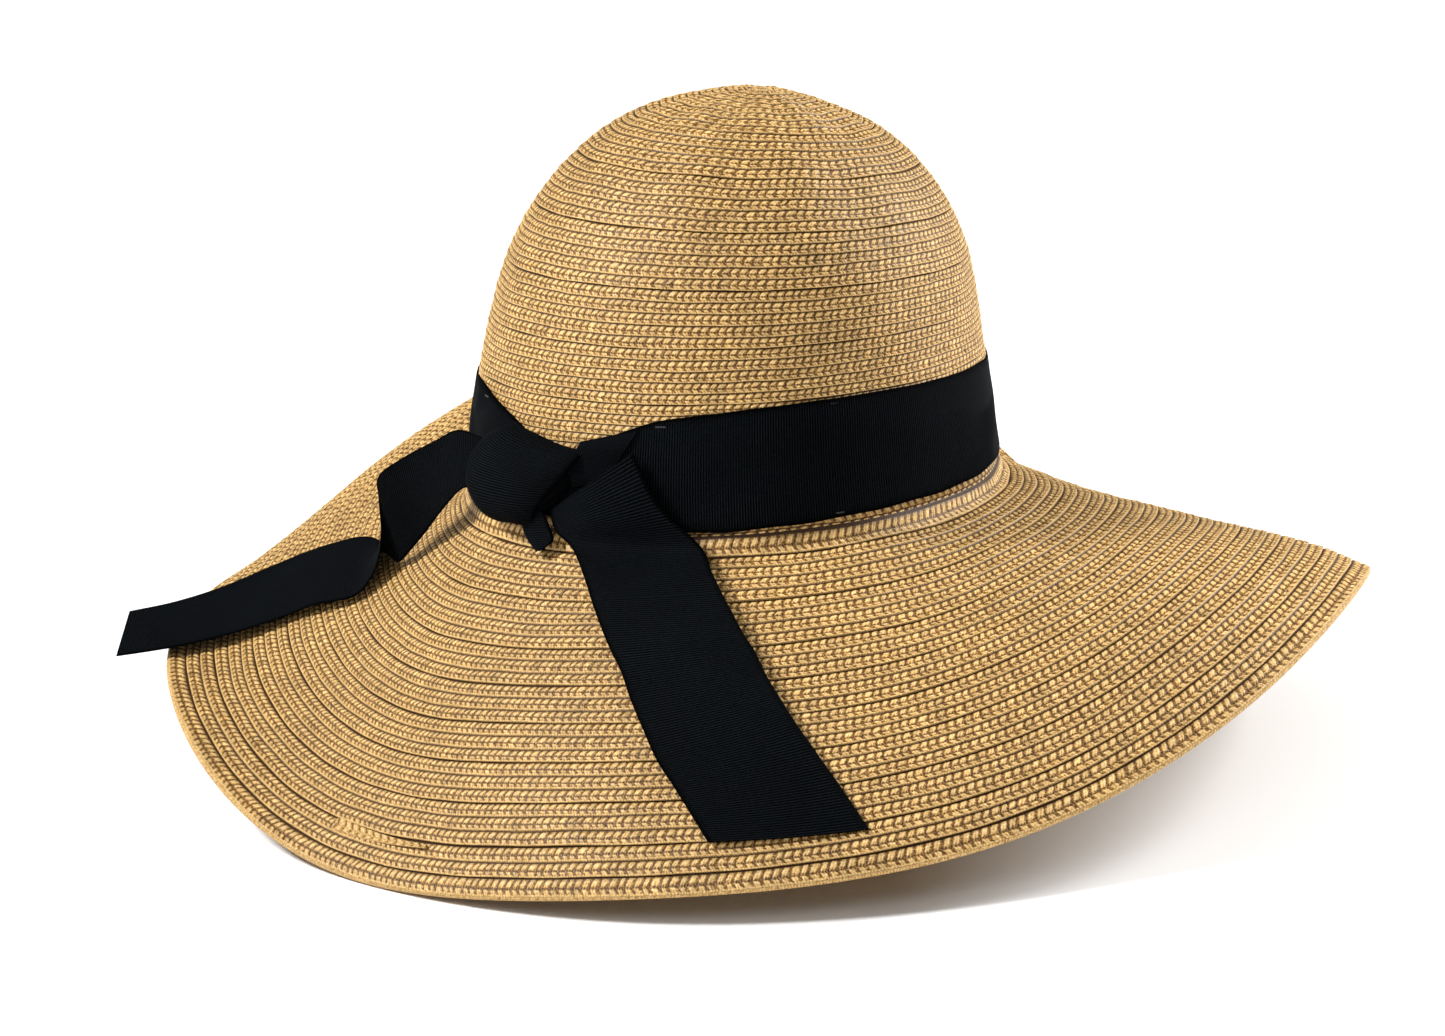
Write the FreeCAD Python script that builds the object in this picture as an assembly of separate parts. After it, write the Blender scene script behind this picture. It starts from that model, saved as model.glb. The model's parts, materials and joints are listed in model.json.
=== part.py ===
import FreeCAD, Part
import os
import math

V = FreeCAD.Vector
os.makedirs("parts", exist_ok=True)

# ---------------------------------------------------------------- driving dimensions (mm)
# Frame: origin at the centre of the head opening, in the plane where the crown wall
# turns into the brim. +Z up, -Y is the front of the hat, -X the side that wears the knot.
HEAD_X = 88.2            # inner half width of the head opening, side to side
HEAD_Y = 93.1            # inner half length, front to back (570 mm round: size 57)
STRAW_T = 1.8            # sewn braid, two layers where the courses overlap
SWEAT_T = 1.2            # sweatband tape
SWEAT_LOW, SWEAT_HIGH = 0.8, 29.0
OVAL_X = 91.5            # outer half width at the foot of the crown
OVAL_Y = 96.4            # outer half length at the foot of the crown
BRIM_ARC = 135.1         # brim measured along its surface from the foot to the edge
EDGE_BAND = 7.2          # doubled outermost braid that closes over the wire
EDGE_GAP = 1.5           # tunnel of the edge wire
WIRE_D = 0.8
SLEEVE_D, SLEEVE_L = 1.25, 14.0
BAND_LOW, BAND_HIGH = 3.2, 41.3   # grosgrain band on the crown wall, away from the knot
RIBBON_T = 0.7
TAIL_T = 0.8
RIBBON_W = 41.0
SEAM = 0.12              # free gap between neighbouring sewn rings
HINGE_GAP = 1.6          # ribbon left out at each bend line

# crown profile: arc from the foot, mean radius, height
CROWN = [(0.0, 94.0, 0.0), (6.1, 93.1, 6.1), (12.3, 92.3, 12.2), (18.4, 91.5, 18.2),
         (24.5, 90.7, 24.3), (30.7, 89.9, 30.4), (36.8, 89.0, 36.5), (43.0, 88.1, 42.5),
         (49.1, 87.1, 48.6), (55.2, 86.1, 54.7), (61.4, 84.9, 60.7), (67.5, 83.5, 66.7),
         (73.6, 82.0, 72.6), (79.8, 80.3, 78.5), (85.9, 78.1, 84.2), (92.0, 75.6, 89.8),
         (98.2, 72.7, 95.2), (104.3, 69.4, 100.4), (110.5, 65.7, 105.3), (116.6, 61.7, 109.9),
         (122.7, 57.4, 114.3), (128.9, 52.7, 118.3), (135.0, 47.7, 121.8), (141.1, 42.4, 125.0),
         (147.3, 36.9, 127.7), (153.4, 31.3, 130.0), (159.5, 25.4, 132.0), (165.7, 19.5, 133.6),
         (171.8, 13.6, 135.0), (178.0, 7.5, 136.0), (185.6, 0.0, 136.5)]
LEAN = (-0.212, 0.524, -0.661, -0.663)      # how far the dome leans, x then y
TILT = (-0.417, -0.419, -0.175, 0.495)      # how far its courses tilt, about y then x
MEAN = 94.0

# slope of the brim below horizontal: harmonics round the head, each a quadratic in arc
BRIM_SLOPE = [(0.3975, -0.0446, 0.2443), (0.2706, -0.4916, 0.4308), (-0.2015, -0.2908, 0.4507),
              (-0.2826, -0.0775, 0.4037), (0.1013, 0.1791, -0.4525), (0.1346, -0.2313, -0.2305),
              (-0.1249, -0.1531, 0.2331), (-0.0088, 0.1648, 0.0496), (-0.0335, 0.0198, -0.0429)]
FILLET = 9.2             # arc over which the wall turns into the brim

NR = 44                  # points in a ring


def lerp_table(tab, s, k):
    if s <= tab[0][0]:
        return tab[0][k]
    for a, b in zip(tab, tab[1:]):
        if s <= b[0]:
            f = (s - a[0]) / (b[0] - a[0])
            return a[k] + (b[k] - a[k]) * f
    return tab[-1][k]


def crown_pt(s, psi):
    r, z = lerp_table(CROWN, s, 1), lerp_table(CROWN, s, 2)
    q = r / MEAN
    ax = r * (1 + (OVAL_X / MEAN - 1) * q)
    ay = r * (1 + (OVAL_Y / MEAN - 1) * q)
    x, y = ax * math.sin(psi), -ay * math.cos(psi)
    t = z / 102.27
    mx = TILT[0] * t + TILT[1] * t * t
    my = TILT[2] * t + TILT[3] * t * t
    lx = (LEAN[0] * t + LEAN[1] * t * t) * 10.23
    ly = (LEAN[2] * t + LEAN[3] * t * t) * 10.23
    return V(x + lx, y + ly, z + x * mx * 0.1 + y * my * 0.1)


def crown_off(s, psi, h):
    """Point at arc s and azimuth psi (0 at the front), h outside the crown's outer face."""
    e = 1.5
    s0, s1 = max(s - e, 0.0), min(s + e, 176.0)
    ds = crown_pt(s1, psi) - crown_pt(s0, psi)
    dp = crown_pt(s, psi + 0.02) - crown_pt(s, psi - 0.02)
    n = dp.cross(ds)
    n.normalize()
    return crown_pt(s, psi) + n * h


_brim_cache = {}


def brim_line(psi):
    key = round(psi, 5)
    if key in _brim_cache:
        return _brim_cache[key]
    n = 180
    basis = [1.0]
    for k in range(1, 5):
        basis += [math.cos(k * psi), math.sin(k * psi)]
    R = Z = 0.0
    out = [(0.0, 0.0, 0.0, math.pi / 2 * 0.9)]
    prev = math.pi / 2 * 0.9
    for i in range(1, n + 1):
        t = i / n
        s = t * BRIM_ARC
        al = sum(b * (c[0] + c[1] * t + c[2] * t * t) for b, c in zip(basis, BRIM_SLOPE))
        w = min(s / FILLET, 1.0)
        w = w * w * (3 - 2 * w)
        al = al * w + math.pi / 2 * 0.9 * (1 - w)
        d = BRIM_ARC / n
        R += 0.5 * (math.cos(al) + math.cos(prev)) * d
        Z -= 0.5 * (math.sin(al) + math.sin(prev)) * d
        out.append((s, R, Z, al))
        prev = al
    _brim_cache[key] = out
    return out


def brim_off(s, psi, h):
    """Point at arc s out from the foot of the crown, h above the brim's upper face."""
    tab = brim_line(psi)
    over = max(s - BRIM_ARC, 0.0)
    R, Z, al = (lerp_table(tab, s, k) for k in (1, 2, 3))
    nx, ny = OVAL_Y * math.sin(psi), -OVAL_X * math.cos(psi)
    d = math.hypot(nx, ny)
    nx, ny = nx / d, ny / d
    R += over * math.cos(al)
    Z -= over * math.sin(al)
    return V(OVAL_X * math.sin(psi) + nx * (R + h * math.sin(al)),
             -OVAL_Y * math.cos(psi) + ny * (R + h * math.sin(al)),
             Z + h * math.cos(al))


# ---------------------------------------------------------------- solid builders
def ring_edge(fn):
    pts = [fn(2 * math.pi * i / NR) for i in range(NR)]
    c = Part.BSplineCurve()
    c.interpolate(pts, PeriodicFlag=True)
    return c.toShape()


def ring_solid(fns):
    """A closed ring whose cross-section is the polygon fns[0], fns[1], ... at every azimuth."""
    edges = [ring_edge(f) for f in fns]
    faces = []
    for a, b in zip(edges, edges[1:] + edges[:1]):
        faces.append(Part.makeRuledSurface(a, b))
    shell = Part.Shell(faces)
    shell.sewShape()
    s = Part.Solid(shell)
    if s.Volume < 0:
        s.reverse()
    return s


def cap_solid(outer, inner):
    """A dome: rings from the rim to the tip, outside and inside, closed by two flat tips."""
    eo = [ring_edge(f) for f in outer]
    ei = [ring_edge(f) for f in inner]
    faces = [Part.makeRuledSurface(a, b) for a, b in zip(eo, eo[1:])]
    faces += [Part.makeRuledSurface(a, b) for a, b in zip(ei, ei[1:])]
    faces.append(Part.makeRuledSurface(eo[0], ei[0]))
    for e in (eo[-1], ei[-1]):
        faces.append(Part.makeFilledFace([e]))
    shell = Part.Shell(faces)
    shell.sewShape()
    s = Part.Solid(shell)
    if s.Volume < 0:
        s.reverse()
    return s


def quad(a, b, c, d):
    return Part.makeRuledSurface(Part.makeLine(a, b), Part.makeLine(d, c))


def loft(sections):
    """A solid through polygons of equal, even point count; each polygon is out along one side
    and back along the other, so its end caps are closed by quads between the two sides."""
    faces = []
    n = len(sections[0])
    for p, q in zip(sections, sections[1:]):
        for i in range(n):
            j = (i + 1) % n
            faces.append(quad(p[i], p[j], q[j], q[i]))
    for p in (sections[0], sections[-1]):
        for j in range(n // 2 - 1):
            faces.append(quad(p[j], p[j + 1], p[n - 2 - j], p[n - 1 - j]))
    shell = Part.Shell(faces)
    shell.sewShape()
    s = Part.Solid(shell)
    if s.Volume < 0:
        s.reverse()
    return s


def flat(pts):
    """The same points pressed into their mean plane."""
    n = len(pts)
    c = V(0, 0, 0)
    for p in pts:
        c = c + p * (1.0 / n)
    nn = V(0, 0, 0)
    for i in range(n):
        nn = nn + (pts[i] - c).cross(pts[(i + 1) % n] - c)
    nn.normalize()
    return [p - nn * nn.dot(p - c) for p in pts]


def spline_loft(sections):
    wires = []
    for pts in sections:
        c = Part.BSplineCurve()
        c.interpolate(flat(pts), PeriodicFlag=True)
        wires.append(Part.Wire([c.toShape()]))
    return Part.makeLoft(wires, True, False)


def strip(stations, t):
    """A ribbon: each station is a line of points across it; t is its thickness."""
    secs = []
    n = len(stations)
    for i, row in enumerate(stations):
        a = stations[max(i - 1, 0)]
        b = stations[min(i + 1, n - 1)]
        along = [q - p for p, q in zip(a, b)]
        top, bot = [], []
        for j, p in enumerate(row):
            across = row[min(j + 1, len(row) - 1)] - row[max(j - 1, 0)]
            nn = along[j].cross(across)
            nn.normalize()
            top.append(p + nn * (t / 2))
            bot.append(p - nn * (t / 2))
        secs.append(top + bot[::-1])
    return loft(secs)


def bar(p, q, w, h, up):
    """A short thread bar from p to q, w wide and h high along up."""
    d = q - p
    side = d.cross(up)
    side.normalize()
    u = side.cross(d)
    u.normalize()
    a = [p + side * (w / 2), p - side * (w / 2), p - side * (w / 2) + u * h, p + side * (w / 2) + u * h]
    b = [x + d for x in a]
    return loft([a, b])


def save(shape, name):
    shape.exportStep("parts/%s.step" % name)


rad = math.radians
nodes = {}

# ---------------------------------------------------------------- crown
WALL_TOP, DOME_TOP = 66.0, 150.0


def crown_ring(s0, s1, n):
    ss = [s0 + (s1 - s0) * i / n for i in range(n + 1)]
    fo = [lambda p, s=s: crown_off(s, p, 0.0) for s in ss]
    fi = [lambda p, s=s: crown_off(s, p, -STRAW_T) for s in ss]
    return ring_solid(fo + fi[::-1])


nodes["crown_wall_courses"] = crown_ring(SEAM, WALL_TOP - SEAM, 8)
nodes["crown_dome_courses"] = crown_ring(WALL_TOP, DOME_TOP - SEAM, 12)
tip_s = [DOME_TOP, 157.0, 164.0, 170.0, 175.0]
nodes["crown_tip_coil"] = cap_solid([lambda p, s=s: crown_off(s, p, 0.0) for s in tip_s],
                                    [lambda p, s=s: crown_off(s, p, -STRAW_T) for s in tip_s])


# ---------------------------------------------------------------- brim
def brim_ring(s0, s1, n, top=0.0, bot=-STRAW_T):
    ss = [s0 + (s1 - s0) * i / n for i in range(n + 1)]
    fo = [lambda p, s=s: brim_off(s, p, top) for s in ss]
    fi = [lambda p, s=s: brim_off(s, p, bot) for s in ss]
    return ring_solid(fo + fi[::-1])


BREAK_W, INNER_END = 9.0, 68.0
EDGE_IN = BRIM_ARC - EDGE_BAND
nodes["brim_break_course"] = brim_ring(SEAM, BREAK_W - SEAM, 4)
nodes["brim_inner_courses"] = brim_ring(BREAK_W, INNER_END - SEAM, 9)
nodes["brim_outer_courses"] = brim_ring(INNER_END, EDGE_IN - SEAM, 9)

# doubled edge braid: a C in section, upper layer, outer bend, lower layer, round the wire
T_E = 0.6
h_up, h_lo = 0.15, 0.15 - 2 * T_E - EDGE_GAP
sec = [(EDGE_IN, h_up), (BRIM_ARC - 1.6, h_up), (BRIM_ARC - 0.5, h_up - 0.35), (BRIM_ARC, (h_up + h_lo) / 2),
       (BRIM_ARC - 0.5, h_lo + 0.35), (BRIM_ARC - 1.6, h_lo), (EDGE_IN, h_lo),
       (EDGE_IN, h_lo + T_E), (BRIM_ARC - 1.9, h_lo + T_E), (BRIM_ARC - 0.8, (h_up + h_lo) / 2),
       (BRIM_ARC - 1.9, h_up - T_E), (EDGE_IN, h_up - T_E)]
nodes["brim_edge_braid"] = ring_solid([lambda p, a=a: brim_off(a[0], p, a[1]) for a in sec])

# the shaping wire in that fold, and the sleeve that joins its ends at the back
WIRE_S, WIRE_H = BRIM_ARC - 2.6, (h_up + h_lo) / 2
BACK = math.pi


def round_sec(rr, n, s=WIRE_S, h=WIRE_H):
    return [(s + rr * math.cos(2 * math.pi * k / n), h + rr * math.sin(2 * math.pi * k / n)) for k in range(n)]


nodes["brim_edge_wire"] = ring_solid([lambda p, a=a: brim_off(a[0], p, a[1]) for a in round_sec(WIRE_D / 2, 8)])
half = SLEEVE_L / 2 / 215.0
stations = [BACK - half + 2 * half * i / 6 for i in range(7)]
outer = loft([[brim_off(a[0], p, a[1]) for a in round_sec(SLEEVE_D / 2, 12)] for p in stations])
inner = loft([[brim_off(a[0], p, a[1]) for a in round_sec(WIRE_D / 2 + 0.06, 12)] for p in
              [BACK - 1.2 * half + 2.4 * half * i / 8 for i in range(9)]])
nodes["wire_joint_sleeve"] = outer.cut(inner)

# tapered end of the braid, tucked and sewn on the upper face a few courses in from the edge
END_A, END_B = rad(-95.0), rad(-79.0)
END_S = BRIM_ARC - 18.0
rows = []
for i in range(9):
    f = i / 8
    p = END_A + (END_B - END_A) * f
    w = 5.6 * (1 - 0.75 * f)
    lo = END_S + 2.0 * f
    rows.append([brim_off(lo, p, 0.2), brim_off(lo + w, p, 0.2), brim_off(lo + w, p, 1.0), brim_off(lo, p, 1.0)])
nodes["braid_end"] = loft(rows)

# ---------------------------------------------------------------- sweatband inside the crown
IN = -STRAW_T - 0.3
ss = [SWEAT_LOW + (SWEAT_HIGH - SWEAT_LOW) * i / 4 for i in range(5)]
nodes["sweatband"] = ring_solid([lambda p, s=s: crown_off(s, p, IN) for s in ss] +
                                [lambda p, s=s: crown_off(s, p, IN - SWEAT_T) for s in ss[::-1]])
# short tape that covers the sweatband's butted ends at the back
rows = []
for i in range(7):
    p = BACK + rad(-7.5 + 15.0 * i / 6)
    rows.append([crown_off(s, p, h) for s, h in ((SWEAT_LOW + 1, IN - SWEAT_T - 0.1), (SWEAT_HIGH - 1, IN - SWEAT_T - 0.1),
                                               (SWEAT_HIGH - 1, IN - SWEAT_T - 0.8), (SWEAT_LOW + 1, IN - SWEAT_T - 0.8))])
nodes["sweatband_join_tape"] = loft(rows)
bars = []
for i in range(84):
    p = 2 * math.pi * i / 84
    if abs(p - BACK) < rad(9.5):
        continue
    a = crown_off(SWEAT_LOW + 1.6, p, IN - SWEAT_T - 0.06)
    b = crown_off(SWEAT_LOW + 1.6, p + 0.042, IN - SWEAT_T - 0.06)
    inward = V(-a.x, -a.y, 0)
    bars.append(bar(a, b, 0.5, 0.3, inward))
nodes["sweatband_stitches"] = Part.makeCompound(bars)

# ---------------------------------------------------------------- ribbon band and its tacks
# azimuth, lower edge, upper edge: the band is gathered where the knot grips it
BAND = [(-180.0, 3.2, 41.3), (-125.0, 3.4, 41.5), (-115.0, 3.8, 41.0), (-108.0, 4.4, 38.5), (-100.0, 4.8, 35.5),
        (-95.0, 4.8, 33.0), (-88.0, 4.6, 28.5), (-80.0, 4.2, 25.5), (-75.0, 3.6, 28.0), (-71.5, 3.0, 31.3),
        (-66.5, 2.6, 34.2), (-62.0, 2.3, 36.8), (-57.5, 2.0, 38.6), (-49.0, 1.8, 40.0), (-40.5, 1.7, 41.4),
        (-27.5, 2.6, 42.6), (-13.5, 3.2, 43.0), (6.5, 3.5, 42.6), (46.0, 4.2, 40.4), (90.0, 3.6, 41.0), (180.0, 3.2, 41.3)]


def band_s(p, f):
    """Arc on the crown at fraction f of the band's width, at azimuth p."""
    d = (math.degrees(p) + 180.0) % 360.0 - 180.0
    lo, hi = lerp_table(BAND, d, 1), lerp_table(BAND, d, 2)
    return lo + (hi - lo) * f


ff = [i / 5 for i in range(6)]
nodes["ribbon_band"] = ring_solid([lambda p, f=f: crown_off(band_s(p, f), p, 0.25 + RIBBON_T) for f in ff] +
                                  [lambda p, f=f: crown_off(band_s(p, f), p, 0.25) for f in ff[::-1]])
bars = []
for deg in (-20, 40, 100, 160, 220):
    for f in (0.04, 0.96):
        p = rad(deg)
        s = band_s(p, f)
        a = crown_off(s, p - 0.016, 0.25 + RIBBON_T + 0.05)
        b = crown_off(s, p + 0.016, 0.25 + RIBBON_T + 0.05)
        bars.append(bar(a, b, 0.4, 0.3, V(a.x, a.y, 0)))
nodes["ribbon_tack_stitches"] = Part.makeCompound(bars)

# ---------------------------------------------------------------- knot
# (azimuth, lowest arc, highest arc, how far it stands out) along the knot
KNOT = [(-108.0, 11.0, 26.5, 8.0), (-105.0, 7.5, 29.5, 10.5), (-101.0, 6.0, 32.0, 12.5), (-96.0, 5.0, 34.5, 13.8),
        (-91.0, 5.0, 34.0, 14.0), (-87.0, 6.5, 32.0, 13.4), (-84.0, 10.0, 30.5, 12.0), (-80.0, 14.5, 28.5, 9.0)]


def knot_sec(deg, lo, hi, out, grow, back):
    mid, ha = (lo + hi) / 2, (hi - lo) / 2 + grow
    hc, hb = (out + back) / 2, (out - back) / 2 + grow
    pts = []
    for k in range(20):
        a = 2 * math.pi * k / 20
        c, s = math.cos(a), math.sin(a)
        e = 0.75
        pts.append(crown_off(mid + ha * math.copysign(abs(c) ** e, c), rad(deg),
                             hc + hb * math.copysign(abs(s) ** e, s)))
    return pts


K_BACK = 1.25
WRAP_T = 1.3
outer = spline_loft([knot_sec(d, lo, hi, out, 0.0, K_BACK) for d, lo, hi, out in KNOT])
inner = spline_loft([knot_sec(d, lo, hi, out, -WRAP_T, K_BACK) for d, lo, hi, out in
                     [(-109.5, 11.0, 26.0, 7.6)] + KNOT + [(-78.5, 15.0, 28.0, 8.6)]])
nodes["knot_wrap"] = outer.cut(inner)
nodes["knot_core"] = spline_loft([knot_sec(d, lo, hi, out, -WRAP_T - 0.25, K_BACK) for d, lo, hi, out in
                                  [(-107.3, 11.5, 26.6, 8.4)] + KNOT[1:-1] + [(-80.6, 14.0, 28.8, 9.6)]])


def patch(corners, n, h0, h1):
    """A flat piece of ribbon on the crown: four (azimuth, arc) corners, from h0 to h1 outside it."""
    (a, b, c, d) = corners
    secs = []
    for i in range(n + 1):
        f = i / n
        lo = (a[0] + (b[0] - a[0]) * f, a[1] + (b[1] - a[1]) * f)
        hi = (d[0] + (c[0] - d[0]) * f, d[1] + (c[1] - d[1]) * f)
        m = 4
        line = [(lo[0] + (hi[0] - lo[0]) * k / m, lo[1] + (hi[1] - lo[1]) * k / m) for k in range(m + 1)]
        secs.append([crown_off(q[1], rad(q[0]), h0) for q in line] +
                    [crown_off(q[1], rad(q[0]), h1) for q in line[::-1]])
    return loft(secs)


# the band ribbon folded over on itself where the right tail leaves the knot
nodes["ribbon_fold"] = patch([(-78.6, 15.5), (-70.0, 17.0), (-63.5, 34.0), (-74.5, 31.0)], 4, 1.15, 2.0)
# the little folded corner that pokes out under the knot
PLEAT = [(V(-95.3, -7.8, 8.6), V(-95.2, -12.6, 7.4)), (V(-97.0, -4.2, 1.0), V(-95.8, -15.6, 2.6)), (V(-97.6, -7.0, -2.4), V(-96.4, -18.0, -0.9)),
         (V(-98.8, -12.4, -4.7), V(-98.2, -15.6, -3.9))]
secs = []
for k, (a, b) in enumerate(PLEAT):
    n0, n1 = PLEAT[max(k - 1, 0)], PLEAT[min(k + 1, 3)]
    nrm = (b - a).cross((n1[0] + n1[1]) - (n0[0] + n0[1]))
    nrm.normalize()
    secs.append([a + nrm * 0.45, b + nrm * 0.45, b - nrm * 0.45, a - nrm * 0.45])
nodes["knot_pleat"] = loft(secs)
bars = []
for deg, f in ((-98.0, 0.06), (-91.5, 0.06), (-112.0, 0.94), (-57.5, 0.94)):
    p = rad(deg)
    s = band_s(p, f)
    a = crown_off(s, p - 0.02, 0.25 + RIBBON_T + 0.05)
    b = crown_off(s, p + 0.02, 0.25 + RIBBON_T + 0.05)
    bars.append(bar(a, b, 0.5, 0.25, V(a.x, a.y, 0)))
nodes["knot_tack_stitches"] = Part.makeCompound(bars)

# ---------------------------------------------------------------- right tail
# left and right edges as (arc, azimuth) on the brim, and how high it lies over the brim
R_LEFT = [(4.0, -77.0), (23.0, -68.0), (35.0, -64.0), (56.0, -58.0), (75.0, -54.0), (91.0, -51.0), (104.0, -48.0), (119.0, -45.2)]
R_RIGHT = [(2.0, -49.6), (18.0, -46.0), (34.0, -42.8), (51.0, -39.8), (66.0, -37.5), (81.0, -35.2), (100.0, -32.2), (121.0, -29.5)]
R_HIGH = [4.6, 6.2, 6.6, 6.2, 5.2, 4.2, 3.0, 2.0]


def tail_row(i):
    f = min(max(i, 0.0), len(R_LEFT) - 1.0)
    k = min(int(f), len(R_LEFT) - 2)
    f -= k
    (s0, a0), (s1, a1) = R_LEFT[k], R_LEFT[k + 1]
    (t0, b0), (t1, b1) = R_RIGHT[k], R_RIGHT[k + 1]
    h = R_HIGH[k] + (R_HIGH[k + 1] - R_HIGH[k]) * f
    ls, la, rs, ra = s0 + (s1 - s0) * f, a0 + (a1 - a0) * f, t0 + (t1 - t0) * f, b0 + (b1 - b0) * f
    n = 6
    return [brim_off(ls + (rs - ls) * j / n, rad(la + (ra - la) * j / n), h) for j in range(n + 1)]


def straight(row):
    n = len(row) - 1
    lift = 1.2
    return [row[0] + (row[-1] - row[0]) * (j / n) + V(0, 0, lift) for j in range(n + 1)]


HINGE_1, HINGE_2 = 0.35, 3.2       # where along the rows the tail bends
h1_row, h2_row = straight(tail_row(HINGE_1)), straight(tail_row(HINGE_2))


def shifted(row, d):
    """The row moved d along the tail."""
    axis = row[-1] - row[0]
    axis.normalize()
    out = V(axis.y, -axis.x, 0)
    if out.dot(row[3]) < 0:
        out = out * -1
    out.normalize()
    out = V(out.x, out.y, -0.55)
    out.normalize()
    return [p + out * d for p in row]


root_top = [crown_off(7.0 + 21.0 * j / 6, rad(-81.6 + 19.2 * j / 6), 4.4 + 1.0 * math.sin(math.pi * j / 6)) for j in range(7)]
root_mid = [crown_off(1.0 + 11.0 * j / 6, rad(-79.0 + 22.5 * j / 6), 5.8 + 0.8 * math.sin(math.pi * j / 6)) for j in range(7)]
nodes["tail_right_root"] = strip([root_top, root_mid, shifted(h1_row, -HINGE_GAP / 2)], TAIL_T)
rows = [shifted(h1_row, HINGE_GAP / 2)] + [tail_row(k) for k in (1.0, 1.6, 2.2, 2.7)] + [shifted(h2_row, -HINGE_GAP / 2)]
nodes["tail_right_upper"] = strip(rows, TAIL_T)
rows = [shifted(h2_row, HINGE_GAP / 2)] + [tail_row(k) for k in (3.7, 4.3, 5.0, 5.6, 6.3, 7.0)]
nodes["tail_right_lower"] = strip(rows, TAIL_T)

# ---------------------------------------------------------------- left tail
# the two edges of the ribbon from the knot outwards: the edge that is on top at the knot
# ends up as the near edge of the strip, because the ribbon turns over at the fold
L_ROOT = [((-92.3, 34.2, 29.2), (-94.1, 33.0, 8.8)), ((-94.0, 45.7, 24.4), (-94.1, 45.6, -0.5)),
          ((-98.0, 59.8, 17.3), (-92.9, 58.4, -10.9)), ((-101.5, 70.8, 9.8), (-93.5, 70.2, -20.9))]
L_FOLD = [((-100.2, 73.9, 0.4), (-90.4, 78.9, -25.1)), ((-98.6, 76.1, -11.2), (-86.5, 87.9, -26.3)),
          ((-98.4, 79.7, -22.0), (-81.1, 99.1, -25.1)), ((-99.7, 85.1, -30.9), (-77.8, 109.4, -24.0)),
          ((-102.4, 92.6, -37.4), (-78.2, 116.9, -24.3))]
L_STRIP = [((-107.0, 109.5, -42.0), (-79.5, 126.0, -26.5)), ((-112.0, 123.0, -47.5), (-83.0, 144.0, -32.5)),
           ((-122.5, 136.0, -52.5), (-93.0, 158.0, -39.0)), ((-135.0, 146.0, -55.5), (-107.0, 169.0, -45.0)),
           ((-147.0, 153.0, -56.5), (-122.0, 178.0, -48.5)), ((-160.0, 160.5, -57.0), (-136.5, 186.0, -50.0))]
FOLD_BOW = 2.0


def rib_row(a, b, bow=0.0, n=4):
    a, b = V(*a), V(*b)
    mid = V((a.x + b.x) / 2, (a.y + b.y) / 2, 0)
    mid.normalize()
    return [a + (b - a) * (j / n) + mid * (bow * math.sin(math.pi * j / n)) for j in range(n + 1)]


def finer(rows, k):
    """The same ribbon with k steps between rows, on a smooth curve through them."""
    out = []
    for i in range(len(rows) - 1):
        p = [rows[max(i - 1, 0)], rows[i], rows[i + 1], rows[min(i + 2, len(rows) - 1)]]
        for q in range(k):
            t = q / k
            out.append([(b * 2 + (c - a) * t + (a * 2 - b * 5 + c * 4 - d) * t ** 2 + (b * 3 - a - c * 3 + d) * t ** 3) * 0.5
                        for a, b, c, d in zip(*p)])
    return out + [rows[-1]]


def between(r0, r1, f):
    return [p + (q - p) * f for p, q in zip(r0, r1)]


lr = [rib_row(a, b) for a, b in L_ROOT]
lf = [rib_row(a, b) for a, b in L_FOLD]
ls_ = [rib_row(a, b) for a, b in L_STRIP]
nodes["tail_left_root"] = strip([between(lr[0], lr[1], 0.08)] + lr[1:], TAIL_T)
lh_row = between(lf[-1], ls_[0], 0.5)
nodes["tail_left_fold"] = strip(finer([between(lr[-1], lf[0], 0.06)] + lf + [between(lf[-1], ls_[0], 0.44)], 3), TAIL_T)
nodes["tail_left_strip"] = strip([between(lf[-1], ls_[0], 0.56)] + ls_, TAIL_T)

# ---------------------------------------------------------------- write
for name, shape in nodes.items():
    save(shape, name)
for name, shape in nodes.items():
    bb = shape.BoundBox
    print("%-22s valid %s vol %9.1f  x %.1f..%.1f y %.1f..%.1f z %.1f..%.1f" %
          (name, shape.isValid(), shape.Volume, bb.XMin, bb.XMax, bb.YMin, bb.YMax, bb.ZMin, bb.ZMax))


def show(label, p):
    print(label, [round(p.x, 2), round(p.y, 2), round(p.z, 2)])


show("hinge1 a", h1_row[0])
show("hinge1 b", h1_row[-1])
show("hinge2 a", h2_row[0])
show("hinge2 b", h2_row[-1])
show("left hinge1 a", lr[0][0])
show("left hinge1 b", lr[0][-1])
show("left hinge2 a", lh_row[0])
show("left hinge2 b", lh_row[-1])
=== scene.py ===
import json
import math
import bpy
import numpy as np
from mathutils import Matrix, Vector

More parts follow.
